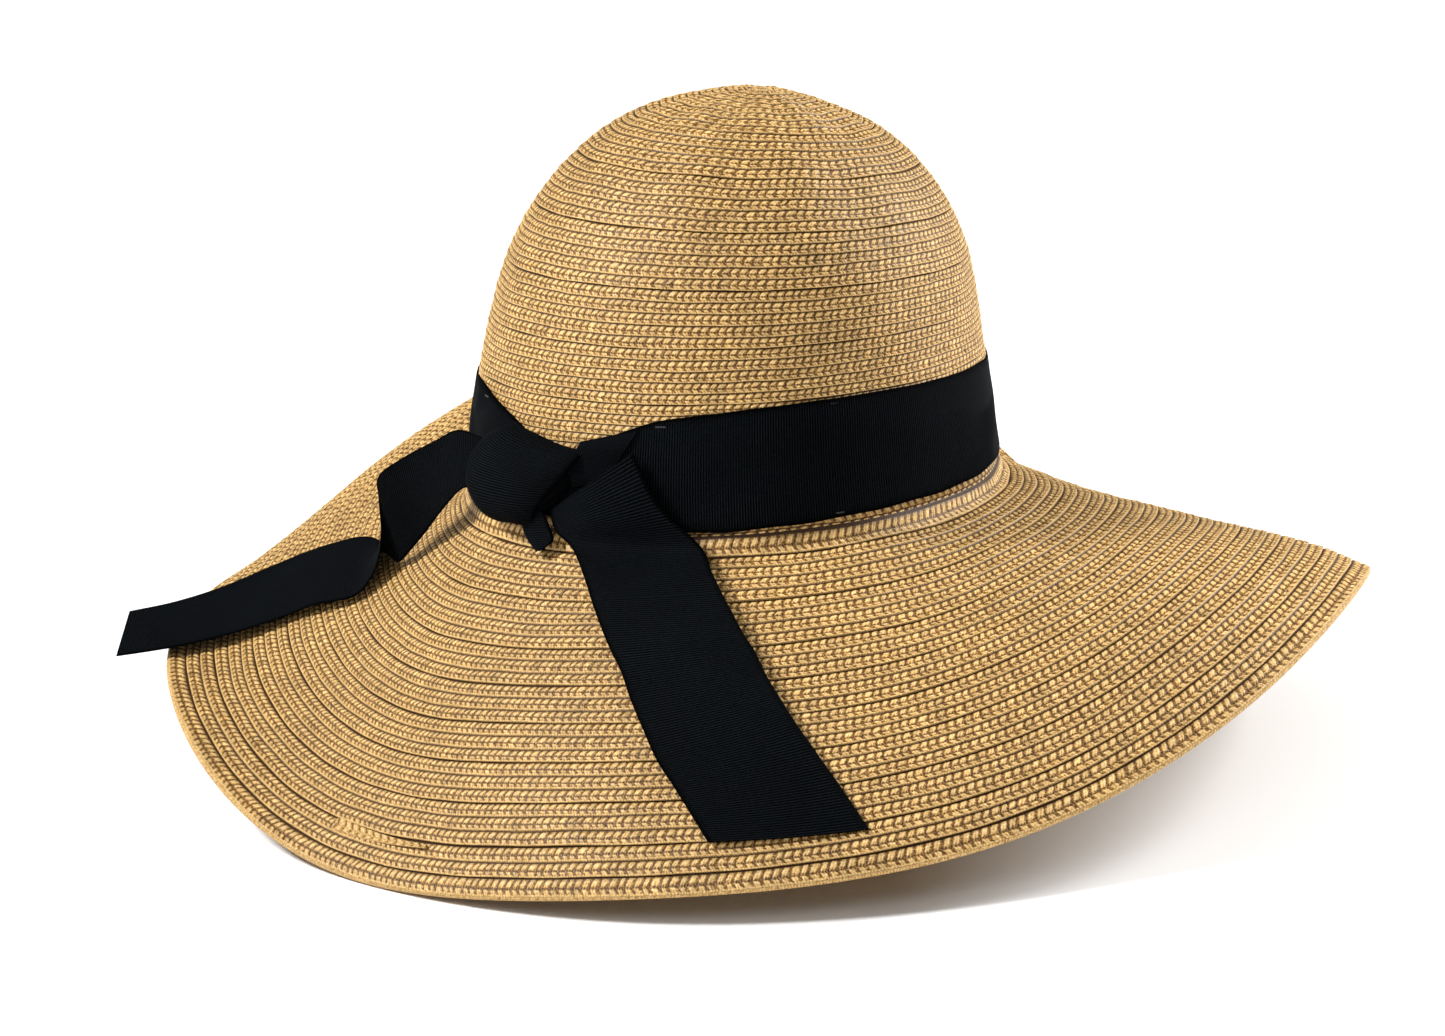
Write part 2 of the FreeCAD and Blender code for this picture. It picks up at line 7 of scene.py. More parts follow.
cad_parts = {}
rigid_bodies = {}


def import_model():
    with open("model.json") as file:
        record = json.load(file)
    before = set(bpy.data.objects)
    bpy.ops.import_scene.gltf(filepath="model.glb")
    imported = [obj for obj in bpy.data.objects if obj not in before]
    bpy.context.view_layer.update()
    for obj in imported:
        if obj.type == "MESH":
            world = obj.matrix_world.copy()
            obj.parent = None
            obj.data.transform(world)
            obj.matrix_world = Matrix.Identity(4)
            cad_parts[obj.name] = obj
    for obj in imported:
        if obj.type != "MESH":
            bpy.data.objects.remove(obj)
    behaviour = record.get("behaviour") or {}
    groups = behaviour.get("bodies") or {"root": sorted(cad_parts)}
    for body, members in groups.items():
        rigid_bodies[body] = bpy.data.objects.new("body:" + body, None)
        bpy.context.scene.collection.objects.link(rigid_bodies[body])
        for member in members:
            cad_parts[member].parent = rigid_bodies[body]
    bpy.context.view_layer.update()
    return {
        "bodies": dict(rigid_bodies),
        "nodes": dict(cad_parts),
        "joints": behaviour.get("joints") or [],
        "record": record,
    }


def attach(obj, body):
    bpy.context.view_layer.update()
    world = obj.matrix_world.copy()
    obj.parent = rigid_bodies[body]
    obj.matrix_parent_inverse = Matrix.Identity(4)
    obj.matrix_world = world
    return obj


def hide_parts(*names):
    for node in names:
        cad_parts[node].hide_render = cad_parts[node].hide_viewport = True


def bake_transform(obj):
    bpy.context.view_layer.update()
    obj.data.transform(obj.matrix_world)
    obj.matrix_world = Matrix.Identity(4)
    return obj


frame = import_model()

# ---------------------------------------------------------------- the hat's surfaces (mm), as the CAD has them
OVAL_X = 91.5
OVAL_Y = 96.4
BRIM_ARC = 135.1
STRAW_T = 1.8
BAND_LOW, BAND_HIGH = 3.2, 41.3
CROWN = [(0.0, 94.0, 0.0), (6.1, 93.1, 6.1), (12.3, 92.3, 12.2), (18.4, 91.5, 18.2),
         (24.5, 90.7, 24.3), (30.7, 89.9, 30.4), (36.8, 89.0, 36.5), (43.0, 88.1, 42.5),
         (49.1, 87.1, 48.6), (55.2, 86.1, 54.7), (61.4, 84.9, 60.7), (67.5, 83.5, 66.7),
         (73.6, 82.0, 72.6), (79.8, 80.3, 78.5), (85.9, 78.1, 84.2), (92.0, 75.6, 89.8),
         (98.2, 72.7, 95.2), (104.3, 69.4, 100.4), (110.5, 65.7, 105.3), (116.6, 61.7, 109.9),
         (122.7, 57.4, 114.3), (128.9, 52.7, 118.3), (135.0, 47.7, 121.8), (141.1, 42.4, 125.0),
         (147.3, 36.9, 127.7), (153.4, 31.3, 130.0), (159.5, 25.4, 132.0), (165.7, 19.5, 133.6),
         (171.8, 13.6, 135.0), (178.0, 7.5, 136.0), (185.6, 0.0, 136.5)]
LEAN = (-0.212, 0.524, -0.661, -0.663)      # how far the dome leans, x then y
TILT = (-0.417, -0.419, -0.175, 0.495)      # how far its courses tilt, about y then x
MEAN = 94.0

# slope of the brim below horizontal: harmonics round the head, each a quadratic in arc
BRIM_SLOPE = [(0.3975, -0.0446, 0.2443), (0.2706, -0.4916, 0.4308), (-0.2015, -0.2908, 0.4507),
              (-0.2826, -0.0775, 0.4037), (0.1013, 0.1791, -0.4525), (0.1346, -0.2313, -0.2305),
              (-0.1249, -0.1531, 0.2331), (-0.0088, 0.1648, 0.0496), (-0.0335, 0.0198, -0.0429)]
FILLET = 9.2             # arc over which the wall turns into the brim
BAND = [(-180.0, 3.2, 41.3), (-125.0, 3.4, 41.5), (-115.0, 3.8, 41.0), (-108.0, 4.4, 38.5), (-100.0, 4.8, 35.5),
        (-95.0, 4.8, 33.0), (-88.0, 4.6, 28.5), (-80.0, 4.2, 25.5), (-75.0, 3.6, 28.0), (-71.5, 3.0, 31.3),
        (-66.5, 2.6, 34.2), (-62.0, 2.3, 36.8), (-57.5, 2.0, 38.6), (-49.0, 1.8, 40.0), (-40.5, 1.7, 41.4),
        (-27.5, 2.6, 42.6), (-13.5, 3.2, 43.0), (6.5, 3.5, 42.6), (46.0, 4.2, 40.4), (90.0, 3.6, 41.0), (180.0, 3.2, 41.3)]
R_LEFT = [(4.0, -77.0), (23.0, -68.0), (35.0, -64.0), (56.0, -58.0), (75.0, -54.0), (91.0, -51.0), (104.0, -48.0), (119.0, -45.2)]
R_RIGHT = [(2.0, -49.6), (18.0, -46.0), (34.0, -42.8), (51.0, -39.8), (66.0, -37.5), (81.0, -35.2), (100.0, -32.2), (121.0, -29.5)]
R_HIGH = [4.6, 6.2, 6.6, 6.2, 5.2, 4.2, 3.0, 2.0]
L_ROOT = [((-92.3, 34.2, 29.2), (-94.1, 33.0, 8.8)), ((-94.0, 45.7, 24.4), (-94.1, 45.6, -0.5)),
          ((-98.0, 59.8, 17.3), (-92.9, 58.4, -10.9)), ((-101.5, 70.8, 9.8), (-93.5, 70.2, -20.9))]
L_FOLD = [((-100.2, 73.9, 0.4), (-90.4, 78.9, -25.1)), ((-98.6, 76.1, -11.2), (-86.5, 87.9, -26.3)),
          ((-98.4, 79.7, -22.0), (-81.1, 99.1, -25.1)), ((-99.7, 85.1, -30.9), (-77.8, 109.4, -24.0)),
          ((-102.4, 92.6, -37.4), (-78.2, 116.9, -24.3))]
L_STRIP = [((-107.0, 109.5, -42.0), (-79.5, 126.0, -26.5)), ((-112.0, 123.0, -47.5), (-83.0, 144.0, -32.5)),
           ((-122.5, 136.0, -52.5), (-93.0, 158.0, -39.0)), ((-135.0, 146.0, -55.5), (-107.0, 169.0, -45.0)),
           ((-147.0, 153.0, -56.5), (-122.0, 178.0, -48.5)), ((-160.0, 160.5, -57.0), (-136.5, 186.0, -50.0))]


# ---------------------------------------------------------------- smooth surfaces (vectorised, mm)
def _crown_fine():
    tab = np.array(CROWN)
    s = np.arange(-30.0, 230.0, 0.25)
    top = tab[-1, 0]
    sm = np.where(s > top, 2 * top - s, s)
    r = np.interp(sm, tab[:, 0], tab[:, 1])
    z = np.interp(sm, tab[:, 0], tab[:, 2])
    r = np.where(s > top, -r, r)
    r = np.where(s < 0, 94.0 - s * (0.9 / 6.1), r)
    z = np.where(s < 0, s, z)
    k = np.exp(-0.5 * (np.arange(-40, 41) * 0.25 / 2.6) ** 2)
    k /= k.sum()
    return s, np.convolve(r, k, "same"), np.convolve(z, k, "same")


CS, CR, CZ = _crown_fine()


def crown_pt(s, psi):
    r, z = np.interp(s, CS, CR), np.interp(s, CS, CZ)
    q = r / MEAN
    ax = r * (1 + (OVAL_X / MEAN - 1) * q)
    ay = r * (1 + (OVAL_Y / MEAN - 1) * q)
    x, y = ax * np.sin(psi), -ay * np.cos(psi)
    t = z / 102.27
    mx = TILT[0] * t + TILT[1] * t * t
    my = TILT[2] * t + TILT[3] * t * t
    lx = (LEAN[0] * t + LEAN[1] * t * t) * 10.23
    ly = (LEAN[2] * t + LEAN[3] * t * t) * 10.23
    return np.stack([x + lx, y + ly, z + x * mx * 0.1 + y * my * 0.1], -1)


def unit(v):
    return v / np.maximum(np.linalg.norm(v, axis=-1, keepdims=True), 1e-12)


def crown_off(s, psi, h):
    s, psi, h = np.broadcast_arrays(np.asarray(s, float), np.asarray(psi, float), np.asarray(h, float))
    se = np.minimum(s, 183.5)
    ds = crown_pt(se + 1.0, psi) - crown_pt(se - 1.0, psi)
    dp = crown_pt(se, psi + 0.02) - crown_pt(se, psi - 0.02)
    return crown_pt(s, psi) + unit(np.cross(dp, ds)) * h[..., None]


def _brim_tables():
    npsi, n = 720, 270
    psi = np.arange(npsi) * (2 * math.pi / npsi)
    basis = [np.ones(npsi)]
    for k in range(1, 5):
        basis += [np.cos(k * psi), np.sin(k * psi)]
    t = np.arange(n + 1) / n
    s = t * BRIM_ARC
    al = sum(b[:, None] * (c[0] + c[1] * t + c[2] * t * t)[None] for b, c in zip(basis, BRIM_SLOPE))
    w = np.minimum(s / FILLET, 1.0)
    w = (w * w * (3 - 2 * w))[None]
    al = al * w + math.pi / 2 * 0.9 * (1 - w)
    d = BRIM_ARC / n
    R = np.zeros_like(al)
    Z = np.zeros_like(al)
    R[:, 1:] = np.cumsum(0.5 * (np.cos(al[:, 1:]) + np.cos(al[:, :-1])) * d, 1)
    Z[:, 1:] = -np.cumsum(0.5 * (np.sin(al[:, 1:]) + np.sin(al[:, :-1])) * d, 1)
    return R, Z, al


BR, BZ, BA = _brim_tables()


def brim_off(s, psi, h):
    s, psi, h = np.broadcast_arrays(np.asarray(s, float), np.asarray(psi, float), np.asarray(h, float))
    npsi, n = BR.shape[0], BR.shape[1] - 1
    u = np.mod(psi, 2 * math.pi) / (2 * math.pi) * npsi
    i0 = np.floor(u).astype(int) % npsi
    fu = u - np.floor(u)
    i1 = (i0 + 1) % npsi
    v = np.clip(s, 0, BRIM_ARC) / BRIM_ARC * n
    j0 = np.minimum(v.astype(int), n - 1)
    fv = v - j0

    def look(T):
        return ((T[i0, j0] * (1 - fu) + T[i1, j0] * fu) * (1 - fv)
                + (T[i0, j0 + 1] * (1 - fu) + T[i1, j0 + 1] * fu) * fv)

    R, Z, al = look(BR), look(BZ), look(BA)
    over = np.maximum(s - BRIM_ARC, 0) + np.minimum(s, 0)
    R = R + over * np.cos(al)
    Z = Z - over * np.sin(al)
    nx, ny = OVAL_Y * np.sin(psi), -OVAL_X * np.cos(psi)
    d = np.hypot(nx, ny)
    nx, ny = nx / d, ny / d
    return np.stack([OVAL_X * np.sin(psi) + nx * (R + h * np.sin(al)),
                     -OVAL_Y * np.cos(psi) + ny * (R + h * np.sin(al)),
                     Z + h * np.cos(al)], -1)


def waves(rng, orders, amp):
    """A smooth periodic wander round the head."""
    a = rng.normal(size=len(orders)) * amp / math.sqrt(len(orders) / 2)
    p = rng.uniform(0, 2 * math.pi, len(orders))
    return lambda psi: sum(a[k] * np.sin(orders[k] * psi + p[k]) for k in range(len(orders)))


GW = np.random.default_rng(5)
WOB = [(GW.integers(3, 15), GW.uniform(0.02, 0.09), GW.uniform(0, 6.28), GW.uniform(0, 6.28), GW.normal() * 0.10)
       for _ in range(14)]


def wobble(psi, s):
    """Slow hand-pressed unevenness of the straw, in mm."""
    return sum(a * np.sin(m * psi + p) * np.sin(k * s + q) for m, k, p, q, a in WOB)


# ---------------------------------------------------------------- mesh helpers
def new_mesh(name, verts, quads, tris=None):
    """verts in mm; quads (n,4) and tris (n,3) index arrays."""
    me = bpy.data.meshes.new(name)
    nq, nt = len(quads), 0 if tris is None else len(tris)
    me.vertices.add(len(verts))
    me.vertices.foreach_set("co", (np.asarray(verts, np.float32) * 0.001).ravel())
    loops = np.asarray(quads, np.int32).ravel()
    starts = np.arange(nq, dtype=np.int32) * 4
    if nt:
        loops = np.concatenate([loops, np.asarray(tris, np.int32).ravel()])
        starts = np.concatenate([starts, nq * 4 + np.arange(nt, dtype=np.int32) * 3])
    me.loops.add(len(loops))
    me.loops.foreach_set("vertex_index", loops.astype(np.int32))
    me.polygons.add(nq + nt)
    me.polygons.foreach_set("loop_start", starts.astype(np.int32))
    me.update(calc_edges=True)
    me.validate()
    me.polygons.foreach_set("use_smooth", np.ones(len(me.polygons), bool))
    ob = bpy.data.objects.new(name, me)
    bpy.context.scene.collection.objects.link(ob)
    return ob


def put(ob, name, values):
    a = ob.data.attributes.new(name, "FLOAT", "POINT")
    a.data.foreach_set("value", np.asarray(values, np.float32).ravel())


def outward(ob):
    """Turns the faces outward if the closed mesh has a negative volume."""
    me = ob.data
    n = len(me.vertices)
    co = np.empty(n * 3, np.float32)
    me.vertices.foreach_get("co", co)
    co = co.reshape(-1, 3).astype(float)
    me.calc_loop_triangles()
    t = np.empty(len(me.loop_triangles) * 3, np.int32)
    me.loop_triangles.foreach_get("vertices", t)
    t = t.reshape(-1, 3)
    a, b, c = co[t[:, 0]], co[t[:, 1]], co[t[:, 2]]
    if (a * np.cross(b, c)).sum() < 0:
        me.flip_normals()
    return ob


def grid_quads(nr, nc, wrap_cols, base=0, wrap_rows=False):
    r = np.arange(nr if wrap_rows else nr - 1)
    c = np.arange(nc if wrap_cols else nc - 1)
    R, C = np.meshgrid(r, c, indexing="ij")
    R2, C2 = (R + 1) % nr, (C + 1) % nc
    return np.stack([R * nc + C, R2 * nc + C, R2 * nc + C2, R * nc + C2], -1).reshape(-1, 4) + base


def slab(name, top, bot):
    """A closed sheet from an upper and a lower grid of points, both (rows, columns, 3)."""
    nr, nc = top.shape[:2]
    n = nr * nc
    verts = np.concatenate([top.reshape(-1, 3), bot.reshape(-1, 3)])
    q = [grid_quads(nr, nc, False), grid_quads(nr, nc, False, n)[:, ::-1]]
    idx = np.arange(n).reshape(nr, nc)
    for line in (idx[0, :], idx[::-1, 0], idx[-1, ::-1], idx[:, -1]):
        a, b = line[:-1], line[1:]
        q.append(np.stack([a, b, b + n, a + n], -1))
    ob = new_mesh(name, verts, np.concatenate(q))
    return outward(ob)


# ---------------------------------------------------------------- braid
# down one course, from under its upper neighbour to its own lower edge
ROW_V = np.array([0.045, 0.10, 0.24, 0.41, 0.56, 0.69, 0.81, 0.905, 0.965])
ROW_B = np.array([-0.05, 0.14, 0.28, 0.42, 0.44, 0.55, 0.56, 0.84, 0.72])
ROW_L = np.array([0.00, 0.62, 1.00, 0.95, 0.12, 0.92, 0.55, 0.10, 0.06])
# painted shadow under the upper course's overlapping edge, per row
ROW_OVERLAP_SHADOW = np.array([1.00, 0.45, 0.00, 0.00, 0.00, 0.00, 0.15, 0.00, 0.35])
SHEAR = 0.95
SPLIT = 0.56


def lean(v):
    return SHEAR * np.minimum(v, np.maximum(2 * SPLIT - v, 0.22))


def braid_ring(name, off, lines, n_lump, seed, rise=0.9, lump=0.46, base=0.0, low=-STRAW_T, fine=True,
               edge=False, hidden=False, start=0.0, cap=False):
    """Rows of sewn braid between neighbouring course lines, as one closed ring.
    off(s, psi, h) gives the surface; lines run from the first (covered) edge to the last free edge."""
    rng = np.random.default_rng(seed)
    m = 5 * n_lump
    j = np.arange(m)
    wander = [waves(rng, [2, 3, 5, 8, 13, 21, 34], 0.10) for _ in lines]
    jit = 2 * math.pi / n_lump
    S, PSI, H, PH, VV, PAINTED_SHADE_ROWS, OVERLAP_SHADOW_ROWS, TN, FL = [], [], [], [], [], [], [], [], []
    shift = start
    sel = range(len(ROW_V)) if fine else (0, 3, 8)
    sgn = 1.0 if lines[-1] > lines[0] else -1.0
    psi0 = 2 * math.pi * (j / 5.0 + start) / n_lump
    # the covered edge, tucked under the neighbouring ring, painted dark as the shadow under it
    for ds, h in ((1.1, -1.15), (0.9, -0.35), (0.15, -0.12)):
        s = np.full(m, lines[0] - sgn * ds)
        S.append(s); PSI.append(psi0); H.append(base + h + wobble(psi0, s))
        PH.append(j / 5.0); VV.append(np.full(m, -0.1)); PAINTED_SHADE_ROWS.append(np.full(m, 0.2))
        OVERLAP_SHADOW_ROWS.append(np.full(m, 1.0)); TN.append(np.ones(m)); FL.append(np.zeros(m))
    for c in range(len(lines) - 1):
        a, b = lines[c], lines[c + 1]
        mc = int(rng.integers(0, 5))
        ph = (j - mc) / 5.0
        lump_id = np.floor(ph).astype(int) % n_lump
        eps = rng.normal(size=n_lump) * 0.085
        frac = ph - np.floor(ph)
        e = eps[lump_id] * (1 - frac) + eps[(lump_id + 1) % n_lump] * frac
        tall = (1 + rng.normal(size=n_lump) * 0.13)[lump_id]
        tone = np.clip(1 + rng.normal(size=n_lump) * 0.085, 0.75, 1.2)[lump_id]
        prof = np.abs(np.sin(math.pi * frac)) ** 0.75
        wide = abs(b - a)
        course_rise = rise * min(wide / 4.2, 1.15) * (1 + 0.06 * rng.normal())
        slow = waves(rng, [1, 2, 4, 7, 11], 0.06)
        lift = waves(rng, [3, 5, 9, 14, 22], 0.07)
        rough = rng.normal(size=(len(ROW_V), m))
        rough = 0.5 * (rough + np.roll(rough, 1, 1))
        for k in sel:
            v = ROW_V[k]
            psi = 2 * math.pi * (j / 5.0 + e - lean(v) + shift) / n_lump
            s = a + (b - a) * v + wander[c](psi) * (1 - v) + wander[c + 1](psi) * v
            lp = prof * tall * ROW_L[k] * lump * min(wide / 4.2, 1.2) * (1 + 0.22 * rough[k])
            h = base + ROW_B[k] * course_rise * (1 + lift(psi)) + lp + wobble(psi, s)
            if k >= 7:
                h = h + 0.05 * np.sin(2 * math.pi * ph * 1.0)
            S.append(s); PSI.append(psi); H.append(h)
            PH.append(ph); VV.append(np.full(m, v + c))
            # painted shade from the relief: lump tops light, the gaps between lumps and the groove between the two
            # lump rows dark
            PAINTED_SHADE_ROWS.append(np.where(ROW_L[k] > 0.2, np.clip(prof ** 0.9 * (0.55 + 0.45 * ROW_L[k]) * (1 + 0.18 * rough[k]), 0, 1), 0.78 if k >= 7 else 0.1) * np.ones(m))
            # painted shadow under the upper course's overlapping edge
            OVERLAP_SHADOW_ROWS.append(np.full(m, ROW_OVERLAP_SHADOW[k]) * (1 + 0.15 * slow(psi) * 5))
            TN.append(tone if k < 7 else 0.5 * tone + 0.55)
            FL.append(np.zeros(m) if fine else np.full(m, 1.0))
        shift -= lean(1.0)
    shift += lean(1.0)
    psi_end = 2 * math.pi * (j / 5.0 + shift - lean(1.0)) / n_lump
    psi_start = 2 * math.pi * (j / 5.0 + start) / n_lump

    # a row of the rolled edge or the other face, with its painted shade from the relief and, as k, its painted overlap
    # shadow
    def add(s, psi, h, v, k, painted_relief_shade, fl=1.0):
        S.append(s * np.ones(m)); PSI.append(psi); H.append(h + wobble(psi, s * np.ones(m)))
        PH.append(j / 5.0 + 0.5 * v); VV.append(np.full(m, v + 50.0)); PAINTED_SHADE_ROWS.append(np.full(m, painted_relief_shade))
        OVERLAP_SHADOW_ROWS.append(np.full(m, k)); TN.append(np.ones(m)); FL.append(np.full(m, fl))

    if edge:      # rolled edge over the wire
        e0 = lines[-1]
        for ds, h in ((-0.02, 0.42), (0.38, 0.05), (0.55, -0.55), (0.5, -1.2), (0.25, -1.9), (-0.35, -2.45), (-1.2, -2.72)):
            add(e0 + ds, psi_end, h, 0.6, 0.0, 0.75, 0.3)
        under = -2.75
    else:
        under = low
    # the other face: shallow steps of the same courses, with painted shade from the relief and a painted shadow line
    # at each step
    for c in range(len(lines) - 2, -1, -1):
        a, b = lines[c], lines[c + 1]
        f = (c + 0.5) / (len(lines) - 1)
        for v, d, k, painted_relief_shade in ((0.93, 0.0, 0.9, 0.3), (0.80, -0.32, 0.0, 0.85), (0.04, 0.05, 0.25, 0.7)):
            if edge and v == 0.93:
                continue
            g = (c + v) / (len(lines) - 1)
            add(a + (b - a) * v, psi_start * (1 - g) + psi_end * g, under + d * 0.9, v, k, painted_relief_shade)
    P = np.stack([off(S[i], PSI[i], H[i]) for i in range(len(S))])
    nr = len(P)
    faces = grid_quads(nr, m, True, 0, True)
    ob = new_mesh(name, P.reshape(-1, 3), faces)
    # painted shade from the relief, and the painted shadow under each course's overlapping edge
    put(ob, "painted_relief_shade", np.stack(PAINTED_SHADE_ROWS)); put(ob, "painted_overlap_shadow", np.clip(np.stack(OVERLAP_SHADOW_ROWS), 0, 1))
    put(ob, "tone", np.stack(TN)); put(ob, "flat", np.stack(FL))
    # phase along the course and place across it, per corner so that the ring has no seam
    PHs, VVs = np.stack(PH), np.stack(VV)
    R, C = np.meshgrid(np.arange(nr), np.arange(m), indexing="ij")
    R2 = (R + 1) % nr
    C2 = (C + 1) % m
    ph00, ph11 = PHs[R, C], PHs[R2, C]
    uv = np.stack([np.stack([ph00, VVs[R, C]], -1), np.stack([ph11, VVs[R2, C]], -1),
                   np.stack([ph11 + 0.2, VVs[R2, C2]], -1), np.stack([ph00 + 0.2, VVs[R, C2]], -1)], -2)
    lay = ob.data.uv_layers.new(name="braid")
    if len(lay.data) == uv.size // 2:
        lay.data.foreach_set("uv", uv.astype(np.float32).ravel())
    else:
        raise RuntimeError(name + ": braid map does not fit the mesh")
    outward(ob)
    return ob, shift


def crown_line(i):
    return 46.94 + 3.550 * i + 0.018637 * i * i if i >= 0 else 46.94 + 3.5 * i


def brim_line(k):
    return BRIM_ARC - 6.641 - 5.228 * min(k, 3) - 4.799 * max(k - 3, 0)


# ---------------------------------------------------------------- materials
def new_mat(name):
    m = bpy.data.materials.new(name)
    m.use_nodes = True
    nt = m.node_tree
    return m, nt, nt.nodes["Principled BSDF"]


def N_(nt, kind, **kw):
    n = nt.nodes.new(kind)
    for k, v in kw.items():
        setattr(n, k, v)
    return n


def math_(nt, op, a, b=None, c=None, clamp=False):
    n = nt.nodes.new("ShaderNodeMath")
    n.operation = op
    n.use_clamp = clamp
    for i, v in enumerate((a, b, c)):
        if v is None:
            continue
        if isinstance(v, (int, float)):
            n.inputs[i].default_value = v
        else:
            nt.links.new(v, n.inputs[i])
    return n.outputs[0]


def attr(nt, name):
    n = nt.nodes.new("ShaderNodeAttribute")
    n.attribute_name = name
    return n.outputs["Fac"]


def noise(nt, scale, detail=2.0, rough=0.5, vec=None):
    n = nt.nodes.new("ShaderNodeTexNoise")
    n.inputs["Scale"].default_value = scale
    n.inputs["Detail"].default_value = detail
    n.inputs["Roughness"].default_value = rough
    if vec is not None:
        nt.links.new(vec, n.inputs["Vector"])
    return n.outputs["Fac"]


def mixc(nt, fac, a, b, mode="MIX"):
    n = nt.nodes.new("ShaderNodeMix")
    n.data_type = "RGBA"
    n.blend_type = mode
    for sock, v in ((n.inputs[0], fac), (n.inputs[6], a), (n.inputs[7], b)):
        if isinstance(v, (int, float)):
            sock.default_value = v
        elif isinstance(v, tuple):
            sock.default_value = v + (1.0,)
        else:
            nt.links.new(v, sock)
    return n.outputs[2]


def grey(nt, v):
    n = nt.nodes.new("ShaderNodeCombineColor")
    for i in range(3):
        nt.links.new(v, n.inputs[i])
    return n.outputs[0]


def straw_material():
    m, nt, bs = new_mat("paper_straw")
    tc = N_(nt, "ShaderNodeTexCoord").outputs["Object"]
    uv = N_(nt, "ShaderNodeUVMap", uv_map="braid")
    sep = N_(nt, "ShaderNodeSeparateXYZ")
    nt.links.new(uv.outputs["UV"], sep.inputs[0])
    ph = sep.outputs["X"]
    painted_relief_shade, painted_overlap_shadow, tone, flat = attr(nt, "painted_relief_shade"), attr(nt, "painted_overlap_shadow"), attr(nt, "tone"), attr(nt, "flat")
    grain = noise(nt, 1500.0, 2.0, 0.6, tc)
    mid = noise(nt, 260.0, 2.0, 0.5, tc)
    big = noise(nt, 22.0, 2.0, 0.5, tc)
    # the few strands that make up each plait of the braid
    a = math_(nt, "MULTIPLY_ADD", ph, 2 * math.pi * 3.0, math_(nt, "MULTIPLY", mid, 3.5))
    strand = math_(nt, "MULTIPLY_ADD", math_(nt, "SINE", a), 0.5, 0.5)
    lumps = math_(nt, "POWER", math_(nt, "ABSOLUTE", math_(nt, "SINE", math_(nt, "MULTIPLY", ph, math.pi))), 0.7)
    lumps_flat = math_(nt, "MULTIPLY", lumps, flat)
    # painted shade: the relief value drives the colour ramp from near-black in the gaps to light tan on the lump tops
    t = math_(nt, "MULTIPLY_ADD", painted_relief_shade, 0.60, math_(nt, "MULTIPLY", strand, 0.17))
    t = math_(nt, "ADD", t, math_(nt, "MULTIPLY", math_(nt, "SUBTRACT", grain, 0.5), 1.05))
    # painted shade: on rings without geometric lumps the gaps between the lumps are darkened
    t = math_(nt, "ADD", t, math_(nt, "MULTIPLY", math_(nt, "SUBTRACT", lumps, 1.0), math_(nt, "MULTIPLY", flat, 0.35)), clamp=True)
    ramp = N_(nt, "ShaderNodeValToRGB")
    nt.links.new(t, ramp.inputs[0])
    el = ramp.color_ramp.elements
    stops = [(0.0, (0.022, 0.008, 0.001)), (0.26, (0.165, 0.078, 0.015)), (0.50, (0.500, 0.300, 0.100)), (1.0, (0.880, 0.660, 0.325))]
    el[0].position, el[0].color = stops[0][0], stops[0][1] + (1,)
    el[1].position, el[1].color = stops[3][0], stops[3][1] + (1,)
    for p, c in stops[1:3]:
        e = el.new(p)
        e.color = c + (1,)
    shade = math_(nt, "MULTIPLY", tone, math_(nt, "MULTIPLY_ADD", big, 0.30, 0.85))
    col = mixc(nt, 1.0, ramp.outputs[0], grey(nt, shade), "MULTIPLY")
    # painted shadow: near-black brown mixed in under each course's overlapping edge
    k = math_(nt, "MULTIPLY", painted_overlap_shadow, math_(nt, "MULTIPLY_ADD", grain, 0.5, 0.68), clamp=True)
    col = mixc(nt, k, col, (0.030, 0.012, 0.003))
    nt.links.new(col, bs.inputs["Base Color"])
    bs.inputs["Roughness"].default_value = 0.52
    bs.inputs["Specular IOR Level"].default_value = 0.25
    hgt = math_(nt, "ADD", math_(nt, "MULTIPLY", strand, 0.35), math_(nt, "ADD", math_(nt, "MULTIPLY", grain, 0.5), lumps_flat))
    bp = N_(nt, "ShaderNodeBump")
    bp.inputs["Strength"].default_value = 0.55
    bp.inputs["Distance"].default_value = 0.0003
    nt.links.new(hgt, bp.inputs["Height"])
    nt.links.new(bp.outputs[0], bs.inputs["Normal"])
    return m


def ribbon_material(name, lo, hi, rough, sheen, tint, spec=0.3):
    m, nt, bs = new_mat(name)
    tc = N_(nt, "ShaderNodeTexCoord").outputs["Object"]
    rib_and_highlight = attr(nt, "rib_and_highlight")
    n1 = noise(nt, 2200.0, 2.0, 0.6, tc)
    n2 = noise(nt, 40.0, 2.0, 0.5, tc)
    # painted highlight: the rib crests are mixed toward the lighter colour
    f = math_(nt, "MULTIPLY_ADD", math_(nt, "POWER", rib_and_highlight, 2.4), 0.85, math_(nt, "MULTIPLY_ADD", n1, 1.1, -0.56), clamp=True)
    f = math_(nt, "MULTIPLY", f, math_(nt, "MULTIPLY_ADD", n2, 0.6, 0.6), clamp=True)
    nt.links.new(mixc(nt, f, lo, hi), bs.inputs["Base Color"])
    bs.inputs["Roughness"].default_value = rough
    bs.inputs["Specular IOR Level"].default_value = spec
    bs.inputs["Sheen Weight"].default_value = sheen
    bs.inputs["Sheen Roughness"].default_value = 0.4
    bs.inputs["Sheen Tint"].default_value = tint + (1.0,)
    bp = N_(nt, "ShaderNodeBump")
    bp.inputs["Strength"].default_value = 0.35
    bp.inputs["Distance"].default_value = 0.0001
    nt.links.new(n1, bp.inputs["Height"])
    nt.links.new(bp.outputs[0], bs.inputs["Normal"])
    return m


def plain_material(name, lo, hi, rough, metal=0.0, scale=400.0):
    m, nt, bs = new_mat(name)
    tc = N_(nt, "ShaderNodeTexCoord").outputs["Object"]
    nt.links.new(mixc(nt, noise(nt, scale, 3.0, 0.6, tc), lo, hi), bs.inputs["Base Color"])
    bs.inputs["Roughness"].default_value = rough
    bs.inputs["Metallic"].default_value = metal
    return m


